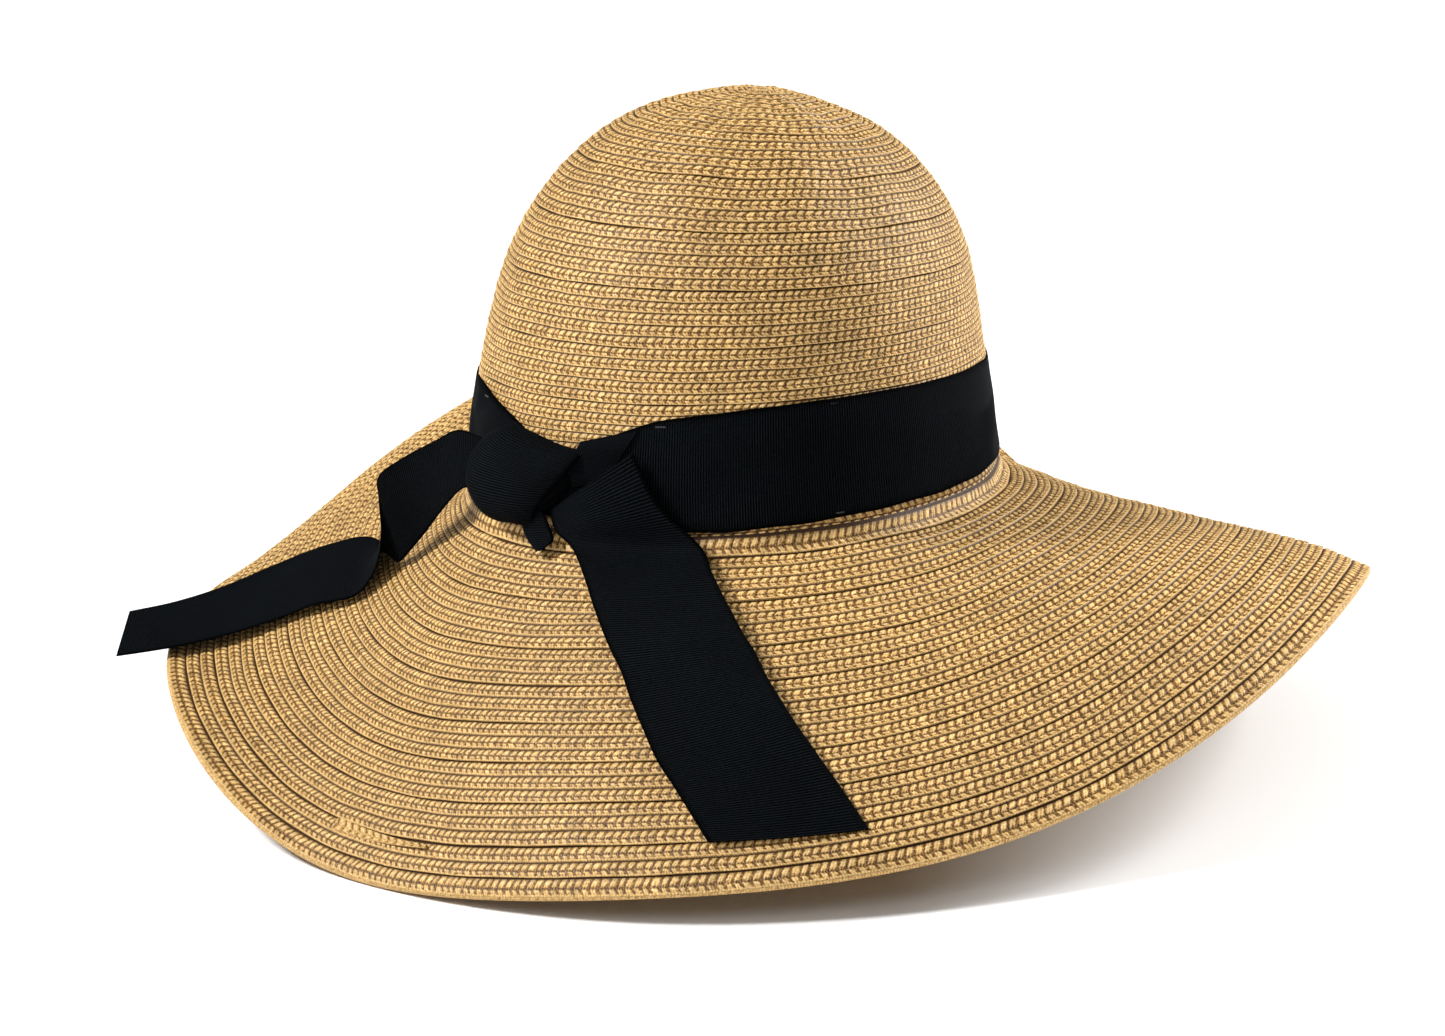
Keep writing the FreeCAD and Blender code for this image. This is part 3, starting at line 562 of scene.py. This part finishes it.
MAT_STRAW = straw_material()
MAT_RIBBON = ribbon_material("grosgrain_black", (0.0001, 0.0001, 0.00015), (0.0100, 0.0128, 0.0162), 0.70, 0.0, (0.65, 0.8, 1.0), 0.012)
MAT_TAPE = ribbon_material("sweatband_tape", (0.30, 0.22, 0.12), (0.62, 0.50, 0.33), 0.8, 0.1, (1.0, 0.95, 0.9))
MAT_WIRE = plain_material("edge_wire_steel", (0.35, 0.35, 0.36), (0.55, 0.55, 0.56), 0.35, 1.0)
MAT_SLEEVE = plain_material("sleeve_metal", (0.45, 0.43, 0.40), (0.65, 0.63, 0.60), 0.4, 1.0)
MAT_THREAD = plain_material("thread_tan", (0.40, 0.29, 0.15), (0.60, 0.45, 0.25), 0.7, 0.0, 900.0)
MAT_THREAD_B = plain_material("thread_black", (0.004, 0.004, 0.005), (0.012, 0.012, 0.015), 0.6, 0.0, 900.0)
MAT_FLOOR, nt_, bs_ = new_mat("floor_white")
bs_.inputs["Base Color"].default_value = (0.90, 0.90, 0.90, 1.0)
bs_.inputs["Roughness"].default_value = 0.9
pos_ = N_(nt_, "ShaderNodeTexCoord").outputs["Object"]
len_ = N_(nt_, "ShaderNodeVectorMath", operation="LENGTH")
nt_.links.new(pos_, len_.inputs[0])
far_ = math_(nt_, "DIVIDE", math_(nt_, "SUBTRACT", len_.outputs["Value"], 0.5), 1.8, clamp=True)
nt_.links.new(math_(nt_, "MULTIPLY", far_, 0.7), bs_.inputs["Emission Strength"])
bs_.inputs["Emission Color"].default_value = (1.0, 1.0, 1.0, 1.0)

straw_pieces = []


def straw(ob, body="hat", nodes=()):
    ob.data.materials.append(MAT_STRAW)
    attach(ob, body)
    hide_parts(*nodes)
    straw_pieces.append(ob)
    return ob


# ---- crown, from the tip down; each zone ends on a course edge
up = [crown_line(i) for i in range(29)]
while up[-1] < 180.0:
    up.append(up[-1] + 4.45)
zones = [(28, len(up) - 1, 30), (24, 28, 62), (19, 24, 98), (14, 19, 132), (9, 14, 160), (4, 9, 180), (-1, 4, 192), (-6, -1, 196), (-8, -6, 196)]


def crown_lines(lo, hi):
    out = []
    for i in range(hi, lo - 1, -1):
        out.append(up[i] if i >= 0 else crown_line(i))
    return out


shift = 0.0
for n, (lo, hi, lumps) in enumerate(zones):
    ob, _ = braid_ring("straw_crown_%d" % n, crown_off, crown_lines(lo, hi), lumps, 100 + n,
                       lump=0.40 if n else 0.3, base=-0.42)
    straw(ob, nodes=[("crown_tip_coil",), ("crown_tip_coil", "crown_dome_courses"), ("crown_dome_courses",), ("crown_dome_courses",),
                     ("crown_dome_courses",), ("crown_dome_courses", "crown_wall_courses"), ("crown_wall_courses",), ("crown_wall_courses",), ("crown_wall_courses",)][n])

# the centre button of the tip: the braid's start, coiled tight
s_top = up[-1]
nb, mb = 9, 60
th = np.linspace(0, 2 * math.pi, mb, endpoint=False)
rows = []
for k in range(nb):
    f = k / nb
    s = s_top + 0.1 + (185.4 - s_top - 0.1) * f
    h = 0.35 + 0.35 * np.sin(3 * th + 5.2 * f * 3) * (1 - f) * 0.35 + 0.15 * np.cos(math.pi * 3 * f)
    rows.append(crown_off(s, th, h))
rows2 = [crown_off(s_top + 0.1 + (185.4 - s_top - 0.1) * f, th, -STRAW_T) for f in (0.75, 0.4, 0.0)]
P = np.stack(rows + rows2)
tipo = crown_off(183.4, np.array([0.0]), 0.35)[0]
tip = P[nb - 1].mean(0) + np.array([0, 0, 0.15])
tip2 = P[nb].mean(0)
V = P.reshape(-1, 3)
q = np.concatenate([grid_quads(nb, mb, True), grid_quads(3, mb, True, nb * mb),
                    np.stack([np.arange(mb) + (nb + 2) * mb, np.arange(mb), (np.arange(mb) + 1) % mb, (np.arange(mb) + 1) % mb + (nb + 2) * mb], -1)])
V = np.concatenate([V, [tip], [tip2]])
a = np.arange(mb)
t1 = np.stack([a + (nb - 1) * mb, np.full(mb, len(V) - 2), (a + 1) % mb + (nb - 1) * mb], -1)
t2 = np.stack([a + nb * mb, (a + 1) % mb + nb * mb, np.full(mb, len(V) - 1)], -1)
ob = new_mesh("straw_tip_button", V, q, np.concatenate([t1, t2]))
put(ob, "painted_relief_shade", np.full(len(V), 0.7)); put(ob, "painted_overlap_shadow", np.zeros(len(V))); put(ob, "tone", np.ones(len(V))); put(ob, "flat", np.zeros(len(V)))
lay = ob.data.uv_layers.new(name="braid")
outward(ob)
straw(ob, nodes=("crown_tip_coil",))

# crown wall under the ribbon band, down to the foot
low_lines = [crown_line(i) for i in range(-8, -14, -1)] + [0.0]
ob, _ = braid_ring("straw_crown_foot", crown_off, low_lines, 158, 140, rise=0.5, lump=0.1, base=-0.62, fine=False)
straw(ob, nodes=("crown_wall_courses",))

# ---- brim, from the foot out
ob, _ = braid_ring("straw_brim_break", brim_off, [0.05, brim_line(25)], 200, 150, rise=0.7, lump=0.34, base=-0.2)
straw(ob, nodes=("brim_break_course",))
bz = [(25, 21, 214), (21, 17, 250), (17, 14, 282), (14, 11, 308), (11, 8, 332), (8, 5, 356), (5, 2, 380), (2, 0, 396)]
for n, (k0, k1, lumps) in enumerate(bz):
    lines = [brim_line(k) for k in range(k0, k1 - 1, -1)]
    ob, _ = braid_ring("straw_brim_%d" % n, brim_off, lines, lumps, 160 + n, rise=0.85, lump=0.40, base=-0.1)
    straw(ob, nodes=("brim_inner_courses",) if n < 4 else ("brim_outer_courses",))
ob, _ = braid_ring("straw_brim_edge", brim_off, [brim_line(0), BRIM_ARC], 404, 180, rise=0.75, lump=0.40, edge=True)
straw(ob, nodes=("brim_edge_braid",))

# tapered, tucked end of the braid
nc, nrw = 61, 9
f = np.linspace(0, 1, nc)
a0 = math.radians(-95.0) + math.radians(16.0) * f
top, bot, painted_relief_shade = [], [], []
for k in range(nrw):
    v = ROW_V[k]
    w = 5.6 * (1 - 0.75 * f)
    s = BRIM_ARC - 18.0 + 2.0 * f + w * v
    pr = np.abs(np.sin(math.pi * (f * 12 - lean(v)))) ** 0.75
    top.append(brim_off(s, a0, 0.75 + 0.5 * ROW_B[k] * (1 - 0.5 * f) + 0.36 * pr * ROW_L[k] * (1 - 0.6 * f)))
    bot.append(brim_off(s, a0, 0.25 + 0 * f))
    # painted shade: lump tops light, the gaps between them darker
    painted_relief_shade.append(np.where(ROW_L[k] > 0.2, pr, 0.6) * np.ones(nc))
ob = slab("straw_braid_end", np.stack(top), np.stack(bot))
# painted shade: the top face follows the lumps, the under face is painted darker
end_painted_shade = np.concatenate([np.stack(painted_relief_shade).ravel(), np.full(nc * nrw, 0.3)])
put(ob, "painted_relief_shade", end_painted_shade); put(ob, "painted_overlap_shadow", np.zeros(len(end_painted_shade))); put(ob, "tone", np.ones(len(end_painted_shade))); put(ob, "flat", np.zeros(len(end_painted_shade)))
ob.data.uv_layers.new(name="braid")
straw(ob, nodes=("braid_end",))


# ---------------------------------------------------------------- ribbon
def cr(P, t):
    """Catmull-Rom through rows of P at fractional row numbers t."""
    P = np.asarray(P, float)
    n = len(P)
    t = np.clip(t, 0, n - 1)
    i = np.minimum(t.astype(int), n - 2)
    f = (t - i).reshape((-1,) + (1,) * (P.ndim - 1))
    ext = np.concatenate([[2 * P[0] - P[1]], P, [2 * P[-1] - P[-2]]])
    p0, p1, p2, p3 = ext[i], ext[i + 1], ext[i + 2], ext[i + 3]
    return 0.5 * (2 * p1 + (p2 - p0) * f + (2 * p0 - 5 * p1 + 4 * p2 - p3) * f ** 2 + (3 * p1 - p0 - 3 * p2 + p3) * f ** 3)


def even_rows(P, pitch, per):
    """Rows resampled to per rows in each pitch of arc along the middle of the ribbon."""
    P = np.asarray(P, float)
    n = len(P)
    t = np.linspace(0, n - 1, (n - 1) * 60 + 1)
    mid = cr(P[:, P.shape[1] // 2], t)
    arc = np.concatenate([[0], np.cumsum(np.linalg.norm(np.diff(mid, axis=0), axis=1))])
    cells = max(int(round(arc[-1] / pitch * per)), 8)
    tt = np.interp(np.linspace(0, arc[-1], cells + 1), arc, t)
    return cr(P, tt), arc[-1], tt


def across(P, n):
    Q = np.swapaxes(P, 0, 1)
    return np.swapaxes(cr(Q, np.linspace(0, len(Q) - 1, n)), 0, 1)


def normals(P):
    a = np.gradient(P, axis=0)
    b = np.gradient(P, axis=1)
    return unit(np.cross(a, b))


def ribbon(name, P, t=0.6, pitch=0.95, amp=0.07, per=4, cols=22, crumple=0.0, seed=1, cut=None, phase=0.0, flip=False):
    """A grosgrain ribbon through the rows P; ribs run across it."""
    R, length, tt = even_rows(P, pitch, per)
    R = across(R, cols)
    N = normals(R)
    if flip:
        N = -N
    nr = len(R)
    k = np.arange(nr) * (2 * math.pi / per) + phase
    u = np.linspace(0, 1, cols)[None, :]
    # rib crests, raised in the sheet and carried into the colour as painted highlight
    rib_and_highlight = (0.5 + 0.5 * np.cos(k))[:, None] * np.ones((1, cols))
    edge = np.clip(np.minimum(u, 1 - u) / 0.035, 0, 1)
    rib_and_highlight = rib_and_highlight * (0.35 + 0.65 * edge)
    rng = np.random.default_rng(seed)
    bend = np.zeros((nr, cols))
    if crumple:
        y = np.linspace(0, length, nr)[:, None]
        for _ in range(7):
            kx, ky = rng.uniform(1.0, 5.0), rng.uniform(0.01, 0.06)
            bend += rng.normal() * crumple * 0.4 * np.sin(kx * u * 3 + ky * y + rng.uniform(0, 6.28))
    thick = t * 0.5 * (0.82 + 0.18 * edge)
    off_t = bend + thick + amp * (rib_and_highlight - 0.5)
    off_b = bend - thick - amp * (rib_and_highlight - 0.5)
    ob = slab(name, R + N * off_t[..., None], R + N * off_b[..., None])
    rib_highlight_values = np.concatenate([rib_and_highlight.ravel(), rib_and_highlight.ravel()])
    put(ob, "rib_and_highlight", rib_highlight_values)
    return ob, length, R


def cloth(ob, nodes, mat=None):
    ob.data.materials.append(mat or MAT_RIBBON)
    if nodes:
        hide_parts(*nodes)
    return ob


rad = math.radians
# ---- band round the crown
ribs = 640
per = 4
m = ribs * per
j = np.arange(m)
psi = 2 * math.pi * j / m
rng = np.random.default_rng(9)
# band rib crests, raised in the cloth and painted as highlight
rib_and_highlight = 0.5 + 0.5 * np.cos(2 * math.pi * j / per)
edge_lo, edge_hi = waves(rng, [9, 15, 22], 0.12), waves(rng, [9, 15, 22], 0.12)
bulge = [waves(rng, [3, 5, 8, 13, 21], 0.12) for _ in range(4)]
tabb = np.array(BAND)
deg = (np.degrees(psi) + 180.0) % 360.0 - 180.0


def band_edge(k):
    """Edge k of the band at every column, with the corners of its table rounded off."""
    d = np.arange(-180.0, 180.0, 0.5)
    v = np.interp(d, tabb[:, 0], tabb[:, k])
    w = np.exp(-0.5 * (np.arange(-12, 13) * 0.5 / 1.8) ** 2)
    v = sum(np.roll(v, q - 12) * w[q] for q in range(25)) / w.sum()
    return np.interp(deg, np.append(d, 180.0), np.append(v, v[0]))


LO, HI = band_edge(1) + edge_lo(psi), band_edge(2) + edge_hi(psi)
near = np.exp(-((deg + 82.0) / 17.0) ** 2)
rowsS, rowsH, band_rib_highlight_rows = [], [], []
vs = [0.0, 0.012, 0.035, 0.09, 0.16, 0.23, 0.30, 0.37, 0.44, 0.51, 0.58, 0.65, 0.72, 0.79, 0.86, 0.92, 0.965, 0.988, 1.0]
for v in vs:
    s = LO + (HI - LO) * v
    e = min(v, 1 - v)
    full = min(e / 0.04, 1.0)
    b = sum(w(psi) * math.sin(math.pi * v * (i + 1)) for i, w in enumerate(bulge))
    pleat = near * (0.75 * math.sin(2 * math.pi * (3.2 * v + 0.1)) + 0.5 * math.sin(2 * math.pi * 5.1 * v)) * full
    h = 0.70 + 0.42 * (0.5 + 0.5 * full) + 0.15 * (rib_and_highlight - 0.5) * (0.3 + 0.7 * full) + b + 0.2 * math.sin(math.pi * v) + np.maximum(pleat, -0.35)
    h = np.maximum(h, 0.70 + 0.44 * full)
    rowsS.append(s); rowsH.append(h); band_rib_highlight_rows.append(rib_and_highlight * full)
for v in (1.0, 0.75, 0.5, 0.25, 0.0):
    rowsS.append(LO + (HI - LO) * v); rowsH.append(np.full(m, 0.35)); band_rib_highlight_rows.append(np.full(m, 0.5))
P = np.stack([crown_off(s, psi, h) for s, h in zip(rowsS, rowsH)])
band = outward(new_mesh("ribbon_band_cloth", P.reshape(-1, 3), grid_quads(len(P), m, True, 0, True)))
put(band, "rib_and_highlight", np.stack(band_rib_highlight_rows))
cloth(band, ["ribbon_band"])
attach(band, "hat")
band_len = 2 * math.pi * 91.0

# ---- sweatband inside
m2 = 1180
j2 = np.arange(m2)
psi2 = 2 * math.pi * j2 / m2
# tape rib crests, raised in the cloth and painted as highlight
rb = 0.5 + 0.5 * np.cos(2 * math.pi * j2 / 4)
IN = -STRAW_T - 0.45
S2, H2, R2 = [], [], []
for v in (0.0, 0.02, 0.1, 0.3, 0.5, 0.7, 0.9, 0.98, 1.0):
    S2.append(np.full(m2, 0.8 + 28.2 * v))
    H2.append(IN - 1.0 - 0.12 * rb * (1.0 if 0.05 < v < 0.95 else 0.2) - (0.15 if 0.05 < v < 0.95 else 0.0))
    R2.append(rb)
for v in (1.0, 0.5, 0.0):
    S2.append(np.full(m2, 0.8 + 28.2 * v)); H2.append(np.full(m2, IN - 0.02)); R2.append(rb * 0)
P = np.stack([crown_off(s, psi2, h) for s, h in zip(S2, H2)])
sweat = outward(new_mesh("sweatband_cloth", P.reshape(-1, 3), grid_quads(len(P), m2, True, 0, True)))
put(sweat, "rib_and_highlight", np.stack(R2))
cloth(sweat, ["sweatband"], MAT_TAPE)
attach(sweat, "hat")

# short tape over the sweatband's join at the back
g = []
for a in np.linspace(-7.5, 7.5, 5):
    p = math.pi + rad(a)
    ss = np.linspace(1.9, 27.9, 7)
    g.append(crown_off(ss, np.full(7, p), np.full(7, IN - 1.7)))
tape, tl, _ = ribbon("sweatband_join_tape_cloth", np.stack(g), t=0.5, pitch=1.2, amp=0.05, cols=20)
cloth(tape, ["sweatband_join_tape"], MAT_TAPE)
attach(tape, "hat")


# ---- knot
def crown_grid(rows):
    """rows of (azimuth, arc, height) on the crown."""
    return np.stack([crown_off([q[1] for q in r], [rad(q[0]) for q in r], [q[2] for q in r]) for r in rows])


def knot_row(L, R, hL, hM, hR, n=9, flatness=0.5):
    out = []
    for i in range(n):
        f = i / (n - 1)
        arch = 1 - abs(2 * f - 1) ** 3.2
        h = (hL * (1 - f) + hR * f) * (1 - arch) + hM * arch
        out.append((L[0] + (R[0] - L[0]) * f, L[1] + (R[1] - L[1]) * f, h))
    return out


KROWS = [knot_row((-98.0, 33.5), (-75.5, 27.0), 1.6, 2.2, 1.6),
         knot_row((-98.0, 32.6), (-75.0, 25.8), 3.0, 6.0, 3.4),
         knot_row((-100.0, 30.2), (-75.4, 24.0), 4.6, 9.4, 5.6),
         knot_row((-104.0, 26.2), (-76.4, 21.4), 5.6, 11.6, 6.8),
         knot_row((-107.2, 21.0), (-78.0, 18.2), 6.2, 12.6, 7.4),
         knot_row((-108.4, 15.6), (-79.8, 14.8), 6.4, 13.0, 7.8),
         knot_row((-107.4, 10.8), (-81.6, 11.2), 6.4, 13.0, 8.0),
         knot_row((-104.6, 6.6), (-83.2, 7.8), 6.2, 12.4, 7.8),
         knot_row((-101.6, 3.0), (-84.4, 4.8), 5.6, 10.6, 7.0),
         knot_row((-99.6, 1.0), (-85.4, 2.6), 4.2, 7.4, 5.2),
         knot_row((-98.8, 0.4), (-86.0, 1.6), 2.4, 4.0, 3.0)]
wrap, wl, _ = ribbon("knot_wrap_cloth", crown_grid(KROWS), t=0.9, pitch=1.02, amp=0.16, per=5, cols=40, crumple=0.12, seed=4)
cloth(wrap, ["knot_wrap"])
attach(wrap, "hat")

# filling of the knot: the ribbon's own folds, gathered under the wrap
n1, n2 = 44, 40
az = np.linspace(-107.0, -77.0, n1)
lo = np.interp(az, [-107, -104, -98, -88, -82, -77], [10, 6.5, 3.0, 3.5, 8.0, 16])
hi = np.interp(az, [-107, -104, -98, -88, -82, -77], [18, 24, 29.5, 28.0, 25.0, 21])
ht = np.interp(az, [-107, -104, -98, -90, -84, -80, -77], [4.2, 7.8, 10.8, 11.6, 10.2, 7.4, 4.0])
th = np.arange(n2) * (2 * math.pi / n2)
G = []
for a, l_, h_, t_ in zip(az, lo, hi, ht):
    c, s = np.cos(th), np.sin(th)
    mid, ha, hc, hb = (l_ + h_) / 2, (h_ - l_) / 2, (t_ + 1.2) / 2, (t_ - 1.2) / 2
    pleat = 1 + 0.07 * np.cos(7 * th + 0.05 * a)
    G.append(crown_off(mid + ha * np.sign(c) * np.abs(c) ** 0.8 * pleat, rad(a) + 0 * th, hc + hb * np.sign(s) * np.abs(s) ** 0.8 * pleat))
G = np.stack(G)
V = np.concatenate([G.reshape(-1, 3), [G[0].mean(0)], [G[-1].mean(0)]])
a_ = np.arange(n2)
t1 = np.stack([a_, (a_ + 1) % n2, np.full(n2, len(V) - 2)], -1)
t2 = np.stack([a_ + (n1 - 1) * n2, np.full(n2, len(V) - 1), (a_ + 1) % n2 + (n1 - 1) * n2], -1)
core = outward(new_mesh("knot_core_cloth", V, grid_quads(n1, n2, True), np.concatenate([t1, t2])))
put(core, "rib_and_highlight", np.full(len(V), 0.4))
cloth(core, ["knot_core"])
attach(core, "hat")

# the band ribbon folded back beside the knot
fold_rows = []
for f in np.linspace(0, 1, 6):
    lo_ = (-79.0 + 9.5 * f, 14.5 + 3.0 * f)
    hi_ = (-75.5 + 13.5 * f, 30.5 + 5.0 * f)
    n = 7
    fold_rows.append([(lo_[0] + (hi_[0] - lo_[0]) * k / (n - 1), lo_[1] + (hi_[1] - lo_[1]) * k / (n - 1),
                       1.75 + 2.2 * (1 - f) * math.sin(math.pi * k / (n - 1)) + 0.35 * math.sin(9.0 * k / (n - 1) + 2 * f)) for k in range(n)])
fold, fl, _ = ribbon("ribbon_fold_cloth", crown_grid(fold_rows), t=0.6, pitch=0.92, amp=0.09, cols=24, crumple=0.1, seed=6)
cloth(fold, ["ribbon_fold"])
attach(fold, "hat")

# little folded corner under the knot
PL = [((-95.4, -7.5, 9.3), (-95.2, -12.8, 7.8)), ((-96.8, -3.8, 1.6), (-95.6, -16.0, 3.0)),
      ((-97.6, -7.0, -2.8), (-96.2, -18.4, -1.2)), ((-99.0, -13.0, -5.3), (-98.2, -15.6, -4.3))]
rows = [np.array(p) + (np.array(q) - np.array(p)) * np.linspace(0, 1, 5)[:, None]
        + np.array([-1.0, 0, 0]) * np.sin(math.pi * np.linspace(0, 1, 5))[:, None] for p, q in PL]
pleat, pl, _ = ribbon("knot_pleat_cloth", np.array(rows), t=1.1, pitch=0.9, amp=0.08, cols=16)
cloth(pleat, ["knot_pleat"])
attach(pleat, "hat")


# ---- right tail
def tail_row(i):
    f = min(max(i, 0.0), len(R_LEFT) - 1.0)
    k = min(int(f), len(R_LEFT) - 2)
    f -= k
    (s0, a0), (s1, a1) = R_LEFT[k], R_LEFT[k + 1]
    (t0, b0), (t1, b1) = R_RIGHT[k], R_RIGHT[k + 1]
    h = R_HIGH[k] + (R_HIGH[k + 1] - R_HIGH[k]) * f
    ls, la, rs, ra = s0 + (s1 - s0) * f, a0 + (a1 - a0) * f, t0 + (t1 - t0) * f, b0 + (b1 - b0) * f
    g = np.linspace(0, 1, 7)
    return brim_off(ls + (rs - ls) * g, np.radians(la + (ra - la) * g), h)


def straight(row, lift=1.2):
    g = np.linspace(0, 1, len(row))[:, None]
    return row[0] + (row[-1] - row[0]) * g + np.array([0, 0, lift])


g7 = np.arange(7) / 6
root_top = crown_off(7.0 + 21.0 * g7, np.radians(-81.6 + 19.2 * g7), 4.4 + 1.0 * np.sin(math.pi * g7))
root_mid = crown_off(1.0 + 11.0 * g7, np.radians(-79.0 + 22.5 * g7), 5.8 + 0.8 * np.sin(math.pi * g7))
h1 = straight(tail_row(0.35))
h2 = straight(tail_row(3.2))
rowsA = [root_top, root_mid, h1, tail_row(1.0), tail_row(1.6)]
rowsB = [tail_row(1.6), tail_row(2.2), tail_row(2.7), h2, tail_row(3.7), tail_row(4.3), tail_row(5.0), tail_row(5.6), tail_row(6.3), tail_row(7.0)]
full = np.stack(rowsA[:-1] + rowsB)
nA = len(rowsA) - 1
fine = cr(full, np.linspace(0, len(full) - 1, (len(full) - 1) * 8 + 1))
A, B = fine[: nA * 8 + 1], fine[nA * 8:]
obA, la_, _ = ribbon("tail_right_a", A, t=0.6, crumple=0.0, seed=21)
obB, lb_, _ = ribbon("tail_right_b", B, t=0.6, crumple=0.0, seed=22)
H1A, H1B = np.array((-96.43, -29.16, -3.18)), np.array((-73.42, -68.35, -1.34))
H2A, H2B = np.array((-119.02, -77.98, -31.4)), np.array((-87.28, -108.46, -27.16))


def across_hinge(ha, hb, toward, reach):
    mid = (ha + hb) / 2
    ax = unit(hb - ha)
    d = toward - mid
    d = unit(d - ax * (d @ ax))
    return (mid - d * reach) * 0.001, (mid + d * reach) * 0.001


s_, e_ = across_hinge(H1A, H1B, tail_row(1.6)[3], 6.0)
cloth(obA, ["tail_right_root", "tail_right_upper"])
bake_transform(obA)
s_, e_ = across_hinge(H2A, H2B, tail_row(5.0)[3], 7.0)
cloth(obB, ["tail_right_upper", "tail_right_lower"])
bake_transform(obB)


# ---- left tail
def rib_row(a, b, bow=0.0, n=8):
    a, b = np.array(a), np.array(b)
    g = np.linspace(0, 1, n + 1)[:, None]
    mid = (a + b) / 2 * np.array([1, 1, 0])
    mid = mid / np.linalg.norm(mid)
    return a + (b - a) * g + mid * bow * np.sin(math.pi * g)


in_knot = rib_row(crown_off(25.5, rad(-103.5), 5.0), crown_off(9.0, rad(-104.5), 5.5))
lr = [in_knot] + [rib_row(a, b) for a, b in L_ROOT]
lf = [rib_row(a, b, c) for (a, b), c in zip(L_FOLD, (0.5, 1.5, 2.0, 1.5, 0.5))]
ls_ = [rib_row(a, b) for a, b in L_STRIP]
full = np.stack(lr + lf + ls_)
fine = cr(full, np.linspace(0, len(full) - 1, (len(full) - 1) * 8 + 1))
nA = len(lr) + 2
A, B = fine[: nA * 8 + 1], fine[nA * 8:]
obA, la2, _ = ribbon("tail_left_a", A, t=0.6, cols=26, seed=31)
obB, lb2, _ = ribbon("tail_left_b", B, t=0.6, cols=26, seed=32)
l1a, l1b = np.array((-92.3, 34.2, 29.2)), np.array((-94.1, 33.0, 8.8))
l2a, l2b = np.array((-78.85, 121.45, -25.4)), np.array((-104.7, 101.05, -39.7))
s_, e_ = across_hinge(l1a, l1b, fine[26][4], 4.0)
cloth(obA, ["tail_left_root", "tail_left_fold"])
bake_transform(obA)
s_, e_ = across_hinge(l2a, l2b, fine[-10][4], 7.0)
cloth(obB, ["tail_left_fold", "tail_left_strip"])
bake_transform(obB)
print("lengths", wl, fl, la_, lb_, la2, lb2)

# ---------------------------------------------------------------- carried over from CAD
for n, m_ in (("brim_edge_wire", MAT_WIRE), ("wire_joint_sleeve", MAT_SLEEVE), ("sweatband_stitches", MAT_THREAD),
              ("ribbon_tack_stitches", MAT_THREAD_B), ("knot_tack_stitches", MAT_THREAD_B)):
    o = frame["nodes"][n] if isinstance(frame, dict) and "nodes" in frame else bpy.data.objects[n]
    o.data.materials.clear()
    o.data.materials.append(m_)

# ---------------------------------------------------------------- floor, light, camera
bpy.ops.mesh.primitive_plane_add(size=60.0, location=(0, 0, -0.1014))
floor = bpy.context.object
floor.name = "floor"
floor.data.materials.append(MAT_FLOOR)

AMBIENT = 0.34
world = bpy.data.worlds.new("studio")
bpy.context.scene.world = world
world.use_nodes = True
wn = world.node_tree
bg = wn.nodes["Background"]
lp = wn.nodes.new("ShaderNodeLightPath")
mm = wn.nodes.new("ShaderNodeMath")
mm.operation = "MULTIPLY_ADD"
wn.links.new(lp.outputs["Is Camera Ray"], mm.inputs[0])
mm.inputs[1].default_value = 1.0 - AMBIENT
mm.inputs[2].default_value = AMBIENT
bg.inputs["Color"].default_value = (1.0, 1.0, 1.0, 1.0)
wn.links.new(mm.outputs[0], bg.inputs["Strength"])


def area(name, loc, target, size, power, color=(1, 1, 1)):
    d = bpy.data.lights.new(name, "AREA")
    d.shape = "RECTANGLE"
    d.size, d.size_y = size
    d.energy = power
    d.color = color
    o = bpy.data.objects.new(name, d)
    bpy.context.scene.collection.objects.link(o)
    o.location = loc
    o.rotation_euler = (Vector(target) - Vector(loc)).to_track_quat("-Z", "Y").to_euler()
    return o


fwd = np.array((0.6233, 0.7428, -0.2446))
rgt = np.array((0.7527, -0.6546, -0.0697))
upv = np.array((0.2118, 0.1407, 0.9671))
fwd /= np.linalg.norm(fwd)
rgt -= fwd * (rgt @ fwd)
rgt /= np.linalg.norm(rgt)
upv = np.cross(rgt, fwd)
flat_f = np.array([fwd[0], fwd[1], 0]) / math.hypot(fwd[0], fwd[1])
flat_r = np.array([rgt[0], rgt[1], 0]) / math.hypot(rgt[0], rgt[1])
toward = -flat_r * math.cos(math.radians(15)) - flat_f * math.sin(math.radians(15))
area("key", tuple(toward * 1.35 + np.array([0, 0, 1.32])), (-0.03, -0.03, -0.02), (0.42, 0.42), 47.0)
area("side", tuple(flat_r * 1.5 + flat_f * 0.35 + np.array([0, 0, 0.9])), (0, 0, 0.02), (0.6, 0.8), 43.0)
area("front", tuple(-flat_f * 1.9 + np.array([0, 0, 1.5])), (0, 0, 0.0), (1.6, 1.0), 7.0)

cam = bpy.data.cameras.new("camera")
cam.sensor_fit = "HORIZONTAL"
cam.sensor_width = 36.0
cam.lens = 4405.2 / 1445.0 * 36.0
cam.clip_end = 100.0
cam_ob = bpy.data.objects.new("camera", cam)
bpy.context.scene.collection.objects.link(cam_ob)
M = Matrix(((rgt[0], upv[0], -fwd[0], -0.9732), (rgt[1], upv[1], -fwd[1], -1.1526), (rgt[2], upv[2], -fwd[2], 0.3635), (0, 0, 0, 1)))
cam_ob.matrix_world = M
bpy.context.scene.camera = cam_ob

view = bpy.context.scene.view_settings
view.view_transform = "Standard"
view.look = "None"

bpy.context.view_layer.update()
